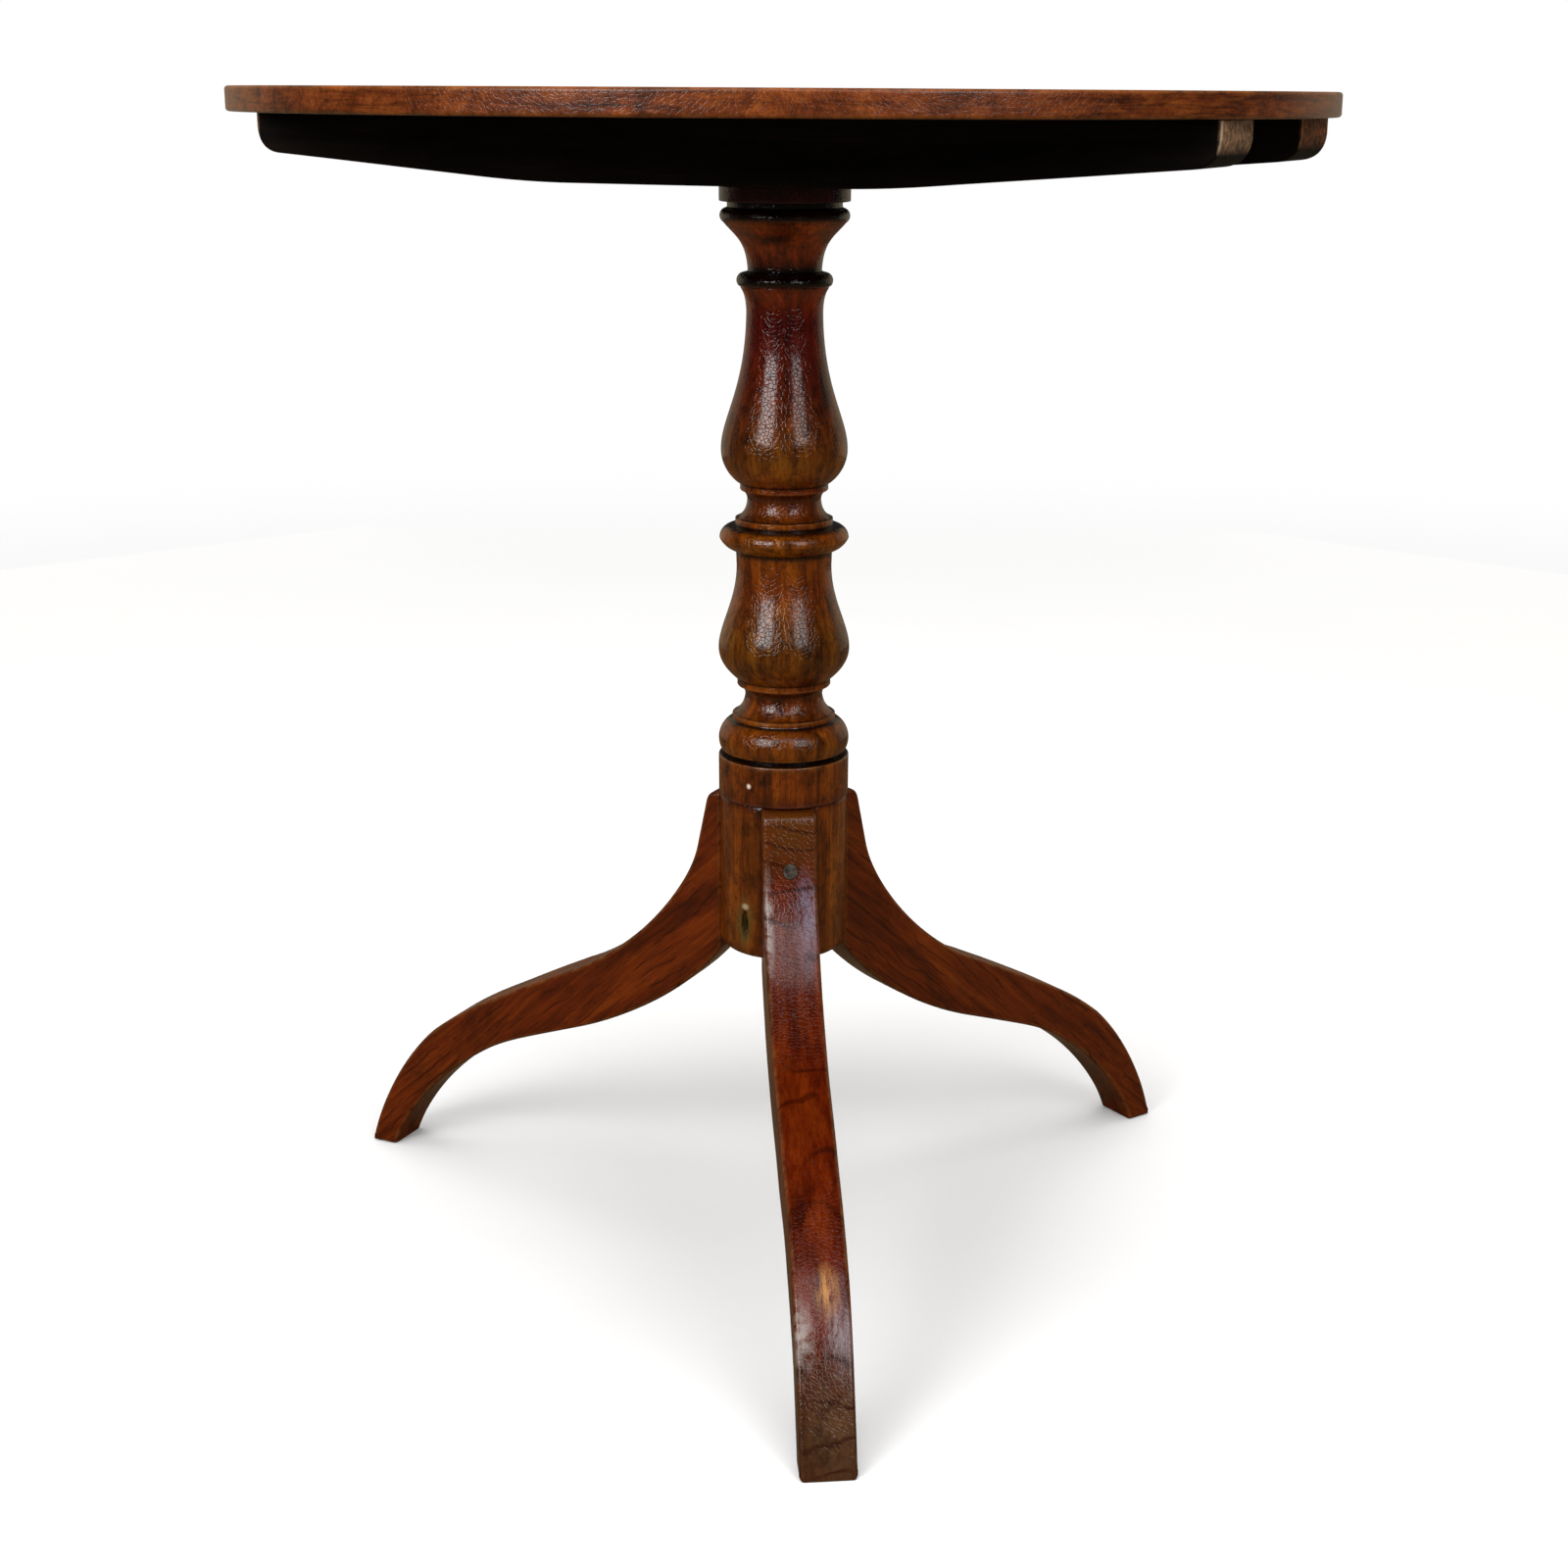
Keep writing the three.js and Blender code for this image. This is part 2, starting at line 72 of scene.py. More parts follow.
DRUM_FOOT_Z = 194.5
DRUM_STEP_Z = 295
DRUM_FLAT = 36.0  # how far the flats behind the legs are from the axis
SOCKET_FLOOR = 23.7  # how far the dovetail sockets' floors are from the axis
SOCKET_TAIL_HALF = 8.3
SOCKET_NECK_HALF = 5.7
SOCKET_TOP_Z = 286.3
TENON_RADIUS = 19
KERF_X = 6
KERF_DEPTH = 21.3
KERF_FLOOR_HALF = 0.7
KERF_MOUTH_HALF = 1.75

LEG_ANGLES = (180, -60, 60)
LEG_ROOT_HALF = 33.5 / 2
LEG_FOOT_HALF = 31.5 / 2
LEG_ROOT_Z = 190
SHOULDER = 36.3  # how far the legs' roots are from the axis
FOOT_REACH = 316
LEG_SCREW_Z = 259
PLUG_FLOOR = 48  # how far the floors of the legs' plug holes are from the axis

KNOB_BALL = 6.5
KNOB_STEM = 2.5

# The gouge low on the drum: its direction from the axis, and its half sizes.
GOUGE_ANGLE = math.radians(-101.5)
GOUGE_RADII = (2.5, 2.3, 9.5)


# ---------- outlines ----------
class Outline:
    """A line of (x, z) points in millimetres, with its curves cut into short steps."""

    def __init__(self, x, z):
        self.points = [(x, z)]

    def line(self, x, z, step=None):
        """A straight stretch, cut up where its surface has to be uneven or marked."""
        x0, z0 = self.points[-1]
        count = max(1, round(math.hypot(x - x0, z - z0) / step)) if step else 1
        for i in range(1, count + 1):
            t = i / count
            self.points.append((x0 + (x - x0) * t, z0 + (z - z0) * t))
        return self

    def curve(self, a, b, end, steps=24):
        """A cubic curve with its two control points."""
        p = self.points[-1]
        for i in range(1, steps + 1):
            t = i / steps
            u = 1 - t
            weights = (u**3, 3 * u * u * t, 3 * u * t * t, t**3)
            self.points.append(
                tuple(sum(w * q[k] for w, q in zip(weights, (p, a, b, end))) for k in (0, 1))
            )
        return self

    def bend(self, control, end, steps=10):
        """A quadratic curve with its one control point."""
        p = self.points[-1]
        a = tuple(p[k] + (control[k] - p[k]) * 2 / 3 for k in (0, 1))
        b = tuple(end[k] + (control[k] - end[k]) * 2 / 3 for k in (0, 1))
        return self.curve(a, b, end, steps)

    def arc(self, x, z, radius, start, stop, steps=20):
        """Part of a circle about (x, z), from one angle to another in degrees."""
        for i in range(steps + 1):
            angle = math.radians(start + (stop - start) * i / steps)
            self.points.append((x + radius * math.cos(angle), z + radius * math.sin(angle)))
        return self


def without_repeats(points, least=0.02):
    """Leaves out each point that is hardly any distance from the one before."""
    kept = [points[0]]
    for point in points[1:]:
        if math.dist(point, kept[-1]) > least:
            kept.append(point)
    return kept


def sharp_corners(points, sharpest=25):
    """The places in a closed outline where it turns by more than a few degrees."""
    found = set()
    for i, point in enumerate(points):
        into = Vector(point) - Vector(points[i - 1])
        out = Vector(points[(i + 1) % len(points)]) - Vector(point)
        if math.degrees(into.angle(out)) > sharpest:
            found.add(i)
    return found


def softened(points, corners, radius):
    """Rounds the given corners of a closed outline, each with the same count of points."""
    made = []
    for i, point in enumerate(points):
        if i not in corners:
            made.append(point)
            continue
        before = Vector(points[i - 1]) - Vector(point)
        after = Vector(points[(i + 1) % len(points)]) - Vector(point)
        reach = min(radius, before.length / 2.2, after.length / 2.2)
        start = Vector(point) + before.normalized() * reach
        end = Vector(point) + after.normalized() * reach
        for j in range(6):
            t = j / 5
            made.append(tuple(start * (1 - t) ** 2 + Vector(point) * 2 * t * (1 - t) + end * t * t))
    return made


def area(points):
    """A closed outline's area, which is negative where the outline runs clockwise."""
    return sum(a[0] * b[1] - b[0] * a[1] for a, b in zip(points, points[1:] + points[:1])) / 2


def inset(points, depth):
    """Moves each point of a closed, counterclockwise outline inwards by depth."""
    made = []
    for i, point in enumerate(points):
        here = Vector(point)
        into = (here - Vector(points[i - 1])).normalized()
        out = (Vector(points[(i + 1) % len(points)]) - here).normalized()
        a, b = Vector((-into.y, into.x)), Vector((-out.y, out.x))
        made.append(tuple(here + (a + b) / max(0.4, 1 + a.dot(b)) * depth))
    return made


# ---------- meshes ----------
def new_object(name, bm, smooth_angle=32):
    """Makes an object of a mesh, smooth but for edges that are sharper than an angle in degrees."""
    bmesh.ops.recalc_face_normals(bm, faces=bm.faces)
    mesh = bpy.data.meshes.new(name)
    bm.to_mesh(mesh)
    bm.free()
    mesh.shade_smooth()
    mesh.set_sharp_from_angle(angle=math.radians(smooth_angle))
    made = bpy.data.objects.new(name, mesh)
    bpy.context.collection.objects.link(made)
    return made


def uneven(position, amount, size):
    """A hand-worked surface's slow unevenness at a place, in metres."""
    return amount * MM * noise.noise(Vector(position) / (size * MM))


def relief(points, reach):
    """How far each point of an outline stands proud of its neighbours at a reach, both in mm."""
    count = len(points)
    lengths = [0.0]
    for a, b in zip(points, points[1:]):
        lengths.append(lengths[-1] + math.dist(a, b))

    def at(length):
        length = min(max(length, 0), lengths[-1])
        k = next((j for j in range(1, count) if lengths[j] >= length), count - 1)
        t = (length - lengths[k - 1]) / max(1e-9, lengths[k] - lengths[k - 1])
        return Vector(points[k - 1]).lerp(Vector(points[k]), t)

    made = []
    for i in range(count):
        back, front = at(lengths[i] - reach), at(lengths[i] + reach)
        along = (front - back).normalized()
        outward = Vector((along.y, -along.x))
        made.append((Vector(points[i]) - (back + front) / 2).dot(outward))
    return made


def upward(points):
    """How much the turned surface faces up at each point of its outline."""
    made = []
    for i in range(len(points)):
        a, b = points[max(0, i - 1)], points[min(len(points) - 1, i + 1)]
        made.append((a[0] - b[0]) / max(1e-9, math.dist(a, b)))
    return made


def share_past(value, start, span):
    """How far a value is past the start of a span, from 0 to 1."""
    return min(1.0, max(0.0, (value - start) / span))


def lathe(name, points, sides, amount=0.0, size=40.0, ledges=0.0):
    """Turns an outline that starts and ends on the axis, and marks its proud and sunken lines.
    amount and size are the height and width of its unevenness. Its sunken lines are darkened, partly
    with dirt and partly with painted shade, and ledges is how much its upward faces are darkened,
    partly with dust and partly with painted shade."""
    points = without_repeats(points)
    proud = relief(points, reach=1.6)
    sunk = relief(points, reach=4.0)
    facing_up = [share_past(up, 0.72, 0.2) for up in upward(points)]
    bm = bmesh.new()
    wear = bm.verts.layers.float.new("wear")
    dirt_and_shade = bm.verts.layers.float.new("dirt_and_shade")
    rings = []
    for (r, z), high, low, ledge in zip(points, proud, sunk, facing_up):
        ring = []
        for k in range(1 if r < 1e-6 else sides):
            angle = 2 * math.pi * k / sides
            place = Vector((r * math.cos(angle), r * math.sin(angle), z)) * MM
            if r > 1e-6 and amount:
                place.xy += place.xy.normalized() * uneven(place, amount, size)
            vert = bm.verts.new(place)
            vert[wear] = share_past(high, 0.32, 0.5)
            # Darker in sunken lines and on upward faces: partly dirt and dust, partly painted shade.
            vert[dirt_and_shade] = min(1.0, share_past(-low, 0.25, 1.6) + ledge * ledges)
            ring.append(vert)
        rings.append(ring)
    for below, above in zip(rings, rings[1:]):
        for k in range(sides):
            n = (k + 1) % sides
            if len(below) == 1:
                bm.faces.new((below[0], above[n], above[k]))
            elif len(above) == 1:
                bm.faces.new((below[k], below[n], above[0]))
            else:
                bm.faces.new((below[k], below[n], above[n], above[k]))
    return new_object(name, bm)


def prism_layers(half, arris, rows):
    """The layers of a prism from side to side, as (inset, y, turn). turn runs from 0 to 1 round an
    arris and is -1 elsewhere. Both kinds of flat face have a row just short of the arris, so that
    only the arris shades as round."""
    side_margin, face_margin = 2.4, 2.2
    steps = 5
    rim = []
    for i in range(steps + 1):
        angle = math.pi / 2 * i / steps
        depth = arris * (1 - math.cos(angle))
        rim.append((depth, half - arris + arris * math.sin(angle), i / steps))
    plain = half - arris - face_margin
    middle = [(0, -plain + 2 * plain * i / (rows - 1), -1) for i in range(rows)]
    far_rim = [(depth, -y, turn) for depth, y, turn in reversed(rim)]
    caps = [(arris + side_margin, y, -1) for y in (-half, half)]
    return [caps[0]] + far_rim + middle + rim + [caps[1]]


def prism(name, points, half, arris, corner=0.8, amount=0.0, size=50.0, rows=9, thin=None):
    """An outline in (x, z) given a width along y, with rounded, marked arrises on both sides. corner
    rounds the outline's own corners, amount and size are the height and width of its unevenness,
    and thin(x) gives the share of the full width that is left at x."""
    if area(points) < 0:
        points = points[::-1]
    corners = sharp_corners(points)
    bm = bmesh.new()
    wear = bm.verts.layers.float.new("wear")
    bm.verts.layers.float.new("dirt_and_shade")
    rings = []
    for depth, y, turn in prism_layers(half, arris, rows):
        ring = []
        for x, z in softened(inset(points, depth), corners, max(0.1, corner - depth)):
            share = thin(x) if thin else 1
            place = Vector((x, y * share, z)) * MM
            if amount:
                shift = uneven(place, amount, size)
                place.z += shift
                place.y += shift * 0.5
            vert = bm.verts.new(place)
            vert[wear] = 0 if turn < 0 else math.sin(math.pi * turn) ** 0.6
            ring.append(vert)
        rings.append(ring)
    count = len(rings[0])
    for near, far in zip(rings, rings[1:]):
        for k in range(count):
            n = (k + 1) % count
            bm.faces.new((near[k], near[n], far[n], far[k]))
    for ring in (rings[0], rings[-1]):
        cap = bm.faces.new(ring)
        cap.normal_update()
        bmesh.ops.triangulate(bm, faces=[cap], ngon_method="EAR_CLIP")
    return new_object(name, bm, smooth_angle=28)


def cylinder(name, radius, start, end, sides=48):
    """A plain cylinder between two places in millimetres."""
    a, b = Vector(start) * MM, Vector(end) * MM
    bm = bmesh.new()
    ends = {"radius1": radius * MM, "radius2": radius * MM}
    bmesh.ops.create_cone(bm, cap_ends=True, segments=sides, depth=(b - a).length, **ends)
    turn = (b - a).to_track_quat("Z", "Y").to_matrix().to_4x4()
    bmesh.ops.transform(bm, matrix=Matrix.Translation((a + b) / 2) @ turn, verts=bm.verts)
    return new_object(name, bm)


def slab(name, low, high):
    """A box between two corners in millimetres."""
    bm = bmesh.new()
    bmesh.ops.create_cube(bm, size=1)
    for vert in bm.verts:
        vert.co = Vector((far if c > 0 else near) * MM for c, near, far in zip(vert.co, low, high))
    return new_object(name, bm)


def carve(obj, cutters, smooth_angle=32):
    """Cuts the cutters out of an object and deletes them."""
    for cutter in cutters:
        modifier = obj.modifiers.new("cut", "BOOLEAN")
        modifier.operation = "DIFFERENCE"
        modifier.solver = "EXACT"
        modifier.object = cutter
        graph = bpy.context.evaluated_depsgraph_get()
        mesh = bpy.data.meshes.new_from_object(obj.evaluated_get(graph))
        obj.modifiers.clear()
        old = obj.data
        obj.data = mesh
        bpy.data.meshes.remove(old)
        bpy.data.objects.remove(cutter)
    obj.data.shade_smooth()
    obj.data.set_sharp_from_angle(angle=math.radians(smooth_angle))


def turned_about_z(obj, degrees):
    """Turns an object about the column's axis, in time for it to cut or be cut."""
    obj.rotation_euler.z = math.radians(degrees)
    bpy.context.view_layer.update()
    return obj


# ---------- material nodes ----------
def node(tree, kind, inputs=None, **settings):
    """A shader node with its settings made, and its inputs given numbers or linked to sockets."""
    made = tree.nodes.new("ShaderNode" + kind)
    for key, value in settings.items():
        setattr(made, key, value)
    for key, value in (inputs or {}).items():
        if isinstance(value, bpy.types.NodeSocket):
            tree.links.new(value, made.inputs[key])
        else:
            made.inputs[key].default_value = value
    return made


def blank_material(name):
    material = bpy.data.materials.new(name)
    material.use_nodes = True
    tree = material.node_tree
    return material, tree, tree.nodes["Principled BSDF"]


def stretched(tree, vector, scale, turn=(0, 0, 0), shift=(0, 0, 0)):
    """A place that is scaled, then turned and moved, for a pattern to be looked up at."""
    inputs = {"Vector": vector, "Scale": scale, "Rotation": turn, "Location": shift}
    return node(tree, "Mapping", inputs).outputs["Vector"]


def noise_of(tree, vector, scale, detail=2.0, rough=0.5, distortion=0.0):
    inputs = {"Vector": vector, "Scale": scale, "Detail": detail, "Roughness": rough}
    return node(tree, "TexNoise", {**inputs, "Distortion": distortion}).outputs["Fac"]


def ramp(tree, fac, stops):
    """A colour ramp; stops are (position, colour or number)."""
    made = node(tree, "ValToRGB", {"Fac": fac})
    elements = made.color_ramp.elements
    while len(elements) < len(stops):
        elements.new(0.5)
    for element, (position, colour) in zip(elements, stops):
        element.position = position
        element.color = (*colour, 1) if isinstance(colour, tuple) else (colour, colour, colour, 1)
    return made.outputs["Color"]


def calc(tree, operation, a, b=0, clamp=False):
    made = node(tree, "Math", operation=operation, use_clamp=clamp)
    for socket, value in zip(made.inputs, (a, b)):
        if isinstance(value, bpy.types.NodeSocket):
            tree.links.new(value, socket)
        else:
            socket.default_value = value
    return made.outputs[0]


def mixed(tree, fac, a, b, blend="MIX"):
    """Colour a with a share of colour b; 0, 6 and 7 are the sockets of a Mix node set to colour."""
    made = node(tree, "Mix", data_type="RGBA", blend_type=blend)
    for key, value in ((0, fac), (6, a), (7, b)):
        if isinstance(value, bpy.types.NodeSocket):
            tree.links.new(value, made.inputs[key])
        elif key:
            made.inputs[key].default_value = (*value, 1)
        else:
            made.inputs[key].default_value = value
    return made.outputs[2]


def attribute(tree, name):
    return node(tree, "Attribute", attribute_name=name).outputs["Fac"]


def spot(tree, place, centre, radii):
    """A mask that is 1 in the middle of an ellipsoid, in millimetres, and fades out to its skin."""
    scale = tuple(1 / (r * MM) for r in radii)
    shift = tuple(-c * MM * s for c, s in zip(centre, scale))
    local = stretched(tree, place, scale, shift=shift)
    distance = node(tree, "VectorMath", {0: local}, operation="LENGTH").outputs["Value"]
    return ramp(tree, distance, [(0.15, 1.0), (0.55, 0.55), (1.0, 0.0)])


# ---------- materials ----------
def grain_of(tree, board):
    """Patterns of a mahogany board whose length is x, in the wood and in its polish."""
    cells = {"Vector": board, "Scale": 420.0}
    crazing = node(tree, "TexVoronoi", cells, feature="DISTANCE_TO_EDGE")
    pits = noise_of(tree, stretched(tree, board, (125, 900, 900)), 1.0)
    return {
        "figure": noise_of(tree, stretched(tree, board, (6, 52, 52)), 1.0, 5.0, 0.62, 1.3),
        "fibre": noise_of(tree, stretched(tree, board, (16, 430, 430)), 1.0, 4.0, 0.68),
        "pores": ramp(tree, pits, [(0.28, 1.0), (0.39, 0.0)]),
        "blotch": noise_of(tree, stretched(tree, board, (24, 52, 52)), 1.0, 6.0, 0.7, 0.5),
        "crazing": ramp(tree, crazing.outputs["Distance"], [(0.0, 1.0), (0.09, 0.0)]),
        "nicks": noise_of(tree, board, 140.0, 4.0, 0.7),
        "streaks": noise_of(tree, stretched(tree, board, (36, 340, 340)), 1.0, 4.0, 0.7, 0.4),
        "patina": noise_of(tree, board, 9.0, 3.0, 0.6),
    }


def growth_rings(tree, board, spacing):
    """Thin, broken dark lines where wavy growth rings meet the surface."""
    across = node(tree, "SeparateXYZ", {0: board}).outputs["Z"]
    wander = calc(tree, "MULTIPLY", noise_of(tree, board, 22.0, 2.0), 2.2 * spacing * MM)
    turns = calc(tree, "MULTIPLY", calc(tree, "ADD", across, wander), 2 * math.pi / (spacing * MM))
    wave = calc(tree, "SINE", turns)
    lines = ramp(tree, wave, [(0.80, 0.0), (0.98, 1.0)])
    broken = ramp(tree, noise_of(tree, board, 38.0, 2.0), [(0.42, 0.0), (0.56, 0.85)])
    return calc(tree, "MULTIPLY", calc(tree, "MULTIPLY", lines, broken), 0.75)


def wood_colour(tree, grain, palette, mottle):
    """The board's own colour, with dark blotches of strength mottle, and its pores."""
    deep, middle, light = palette
    figure = calc(tree, "MULTIPLY", grain["figure"], 0.62)
    fibre = calc(tree, "MULTIPLY", grain["fibre"], 0.38)
    tone = calc(tree, "ADD", figure, fibre)
    colour = ramp(tree, tone, [(0.30, deep), (0.49, middle), (0.70, light)])
    shade = ramp(tree, grain["blotch"], [(0.30, 0.18), (0.43, 0.72), (0.52, 1.0), (0.72, 1.22)])
    colour = mixed(tree, mottle, colour, shade, "MULTIPLY")
    return mixed(tree, calc(tree, "MULTIPLY", grain["pores"], 0.6), colour, deep)


def by_height(tree, place, stops):
    """A colour that changes with height; stops are (height in millimetres, colour)."""
    low, high = stops[0][0], stops[-1][0]
    z = node(tree, "SeparateXYZ", {0: place}).outputs["Z"]
    share = node(tree, "MapRange", {0: z, "From Min": low * MM, "From Max": high * MM}).outputs[0]
    return ramp(tree, share, [((height - low) / (high - low), tint) for height, tint in stops])


def streaked(tree, place, colour, scale, strength):
    """Dark and pale strokes in a colour; scale is how close together they lie along x, y and z."""
    strokes = noise_of(tree, stretched(tree, place, scale), 1.0, 5.0, 0.7, 0.6)
    shade = ramp(tree, strokes, [(0.36, 0.22), (0.48, 0.85), (0.60, 1.15), (0.70, 1.45)])
    return mixed(tree, strength, colour, shade, "MULTIPLY")


def mark_mask(tree, place, grain, centre, radii, strength, pattern):
    """Where a mark shows: an ellipsoid, broken up by one of the grain's patterns unless it is None."""
    mask = calc(tree, "MULTIPLY", spot(tree, place, centre, radii), strength)
    if pattern is None:
        return mask
    breakup = ramp(tree, grain[pattern], [(0.38, 0.0), (0.56, 1.0)])
    return calc(tree, "MULTIPLY", mask, breakup)


def mahogany(
    name, palette, grain_turn, shift, finish, mottle=1.0, zones=None, marks=(), rings=None, streaks=None
):
    """Old polished mahogany. grain_turn turns the wood's length onto x, and shift moves the piece
    through the pattern. finish is (film's roughness, film's strength, how far the arrises are
    worn). mottle is the strength of its dark blotches, zones tint it by height, with painted shade
    and glow among the tints, and rings is the spacing of its growth rings. marks are (centre, radii,
    colour, strength, pattern) for stains, scuffs and painted sheen, in the piece's own frame. streaks
    is (scale, strength) for strokes in its colour. Its hollows and ledges are darkened with dirt and
    painted shade."""
    film_rough, film, wear = finish
    material, tree, shader = blank_material(name)
    place = node(tree, "TexCoord").outputs["Object"]
    board = stretched(tree, place, (1, 1, 1), turn=grain_turn, shift=shift)
    grain = grain_of(tree, board)
    colour = wood_colour(tree, grain, palette, mottle)
    if streaks:
        colour = streaked(tree, place, colour, *streaks)
    rubbed = ramp(tree, grain["nicks"], [(0.34, 0.0), (0.62, wear)])
    colour = mixed(tree, calc(tree, "MULTIPLY", attribute(tree, "wear"), rubbed), colour, BARE_WOOD)
    # Tints by height, which on the column include painted shade and glow.
    if zones:
        colour = mixed(tree, 1.0, colour, by_height(tree, place, zones), "MULTIPLY")
    rough = calc(tree, "ADD", calc(tree, "MULTIPLY", grain["patina"], 0.34), film_rough - 0.15)
    # Hollows and ledges darkened with dirt and painted shade.
    grime_and_shade = calc(tree, "MULTIPLY", attribute(tree, "dirt_and_shade"), 0.96, clamp=True)
    colour = mixed(tree, grime_and_shade, colour, GRIME_AND_SHADE)
    rough = calc(tree, "ADD", rough, calc(tree, "MULTIPLY", grime_and_shade, 0.45))
    # Stains and scuffs, and on the front leg painted sheen too.
    for centre, radii, mark_colour, strength, pattern in marks:
        mask = mark_mask(tree, place, grain, centre, radii, strength, pattern)
        colour = mixed(tree, mask, colour, mark_colour)
        rough = calc(tree, "ADD", rough, calc(tree, "MULTIPLY", mask, 0.2))
    if rings:
        colour = mixed(tree, growth_rings(tree, board, rings), colour, palette[0])
    tree.links.new(colour, shader.inputs["Base Color"])
    tree.links.new(rough, shader.inputs["Roughness"])
    shader.inputs["Specular IOR Level"].default_value = 0.0
    shader.inputs["Coat Weight"].default_value = film
    shader.inputs["Coat Roughness"].default_value = film_rough * 0.45
    wood_relief(tree, shader, board, grain)
    return material


def wood_relief(tree, shader, board, grain):
    """Slow waves and nicks in the polish over open pores and crazing."""
    waves = noise_of(tree, stretched(tree, board, (40, 85, 85)), 1.0, 2.0)
    height = calc(tree, "MULTIPLY", waves, 0.5)
    for mask, depth in (("fibre", 0.10), ("nicks", 0.52), ("pores", -0.10), ("crazing", -0.30)):
        height = calc(tree, "ADD", height, calc(tree, "MULTIPLY", grain[mask], depth))
    bump = node(tree, "Bump", {"Height": height, "Strength": 0.45, "Distance": 0.45 * MM})
    tree.links.new(bump.outputs["Normal"], shader.inputs["Normal"])
    tree.links.new(bump.outputs["Normal"], shader.inputs["Coat Normal"])


def dry_wood(name, palette, grain_turn, shift, end_at=None, end_palette=None):
    """Unpolished wood under the top, in its palette's colours, which on the bearers are painted shade.
    Further than end_at millimetres from the middle it is brown end grain, in end_palette's (dark, pale,
    worn) colours, the worn one partly painted highlight."""
    deep, middle, light = palette
    material, tree, shader = blank_material(name)
    place = node(tree, "TexCoord").outputs["Object"]
    board = stretched(tree, place, (1, 1, 1), turn=grain_turn, shift=shift)
    figure = noise_of(tree, stretched(tree, board, (6, 60, 60)), 1.0, 5.0, 0.6, 0.8)
    fibre = noise_of(tree, stretched(tree, board, (30, 600, 600)), 1.0, 3.0, 0.6)
    dust = noise_of(tree, board, 14.0, 4.0, 0.65)
    tone = calc(tree, "MULTIPLY", figure, 0.6)
    tone = calc(tree, "ADD", tone, calc(tree, "MULTIPLY", fibre, 0.4))
    colour = ramp(tree, tone, [(0.34, deep), (0.50, middle), (0.66, light)])
    colour = mixed(tree, 1.0, colour, ramp(tree, dust, [(0.3, 0.55), (0.7, 1.25)]), "MULTIPLY")
    patches = ramp(tree, dust, [(0.45, 0.0), (0.6, 0.7)])
    worn = calc(tree, "MULTIPLY", attribute(tree, "wear"), patches)
    rubbed = tuple(min(1.0, 2.6 * c) for c in light)
    if end_at:
        along = calc(tree, "ABSOLUTE", node(tree, "SeparateXYZ", {0: place}).outputs["X"])
        ends = {"From Min": (end_at - 1.5) * MM, "From Max": (end_at + 1) * MM}
        bare = node(tree, "MapRange", {0: along, **ends}).outputs[0]
        end_grain = noise_of(tree, place, 260.0, 4.0, 0.7)
        brown = ramp(tree, end_grain, [(0.35, end_palette[0]), (0.65, end_palette[1])])
        colour = mixed(tree, bare, colour, brown)
        # On the end grain's arrises a pale colour, partly wear and partly painted highlight.
        worn = calc(tree, "MULTIPLY", calc(tree, "MULTIPLY", attribute(tree, "wear"), bare), 0.6)
        rubbed = end_palette[2]
    colour = mixed(tree, worn, colour, rubbed)
    tree.links.new(colour, shader.inputs["Base Color"])
    rough = ramp(tree, fibre, [(0.3, 0.58), (0.7, 0.84)])
    tree.links.new(rough, shader.inputs["Roughness"])
    shader.inputs["Specular IOR Level"].default_value = 0.08
    bump = node(tree, "Bump", {"Height": tone, "Strength": 0.5, "Distance": 0.25 * MM})
    tree.links.new(bump.outputs["Normal"], shader.inputs["Normal"])
    return material


def old_metal(name, clean, tarnish, rough_low, rough_high):
    """Brass or steel gone dull in patches, with fine scratches along x."""
    material, tree, shader = blank_material(name)
    place = node(tree, "TexCoord").outputs["Object"]
    patches = noise_of(tree, place, 120.0, 5.0, 0.65)
    scratches = noise_of(tree, stretched(tree, place, (150, 2600, 2600)), 1.0, 2.0)
    colour = ramp(tree, patches, [(0.36, tarnish), (0.62, clean)])
    tree.links.new(colour, shader.inputs["Base Color"])
    rough = ramp(tree, patches, [(0.36, rough_high), (0.62, rough_low)])
    tree.links.new(rough, shader.inputs["Roughness"])
    shader.inputs["Metallic"].default_value = 1.0
    height = calc(tree, "MULTIPLY", scratches, 0.5)
    height = calc(tree, "ADD", height, calc(tree, "MULTIPLY", patches, 0.4))
    bump = node(tree, "Bump", {"Height": height, "Strength": 0.3, "Distance": 0.1 * MM})
    tree.links.new(bump.outputs["Normal"], shader.inputs["Normal"])
    return material


def filler_material():
    """Dark grey stopping, cracked and rubbed level with the wood."""
    material, tree, shader = blank_material("filler")
    place = node(tree, "TexCoord").outputs["Object"]
    patches = noise_of(tree, place, 260.0, 4.0, 0.6)
    dark, grey, pale = (0.016, 0.011, 0.008), (0.048, 0.038, 0.028), (0.085, 0.072, 0.056)
    colour = ramp(tree, patches, [(0.34, dark), (0.5, grey), (0.7, pale)])
    tree.links.new(colour, shader.inputs["Base Color"])
    shader.inputs["Roughness"].default_value = 0.75
    shader.inputs["Specular IOR Level"].default_value = 0.15
    bump = node(tree, "Bump", {"Height": patches, "Strength": 0.5, "Distance": 0.3 * MM})
    tree.links.new(bump.outputs["Normal"], shader.inputs["Normal"])
    return material


def dress(obj, material):
    obj.data.materials.clear()
    obj.data.materials.append(material)


# Turns that lay a wood's length along an axis, or along a leg.
GRAIN_X = (0, 0, 0)
GRAIN_Y = (0, 0, -math.pi / 2)
GRAIN_Z = (0, math.pi / 2, 0)
GRAIN_LEG = (0, math.radians(-42), 0)

# Dirt and painted shade, for the column's hollows and ledges.
GRIME_AND_SHADE = (0.0030, 0.0012, 0.0006)
BARE_WOOD = (0.20, 0.085, 0.022)
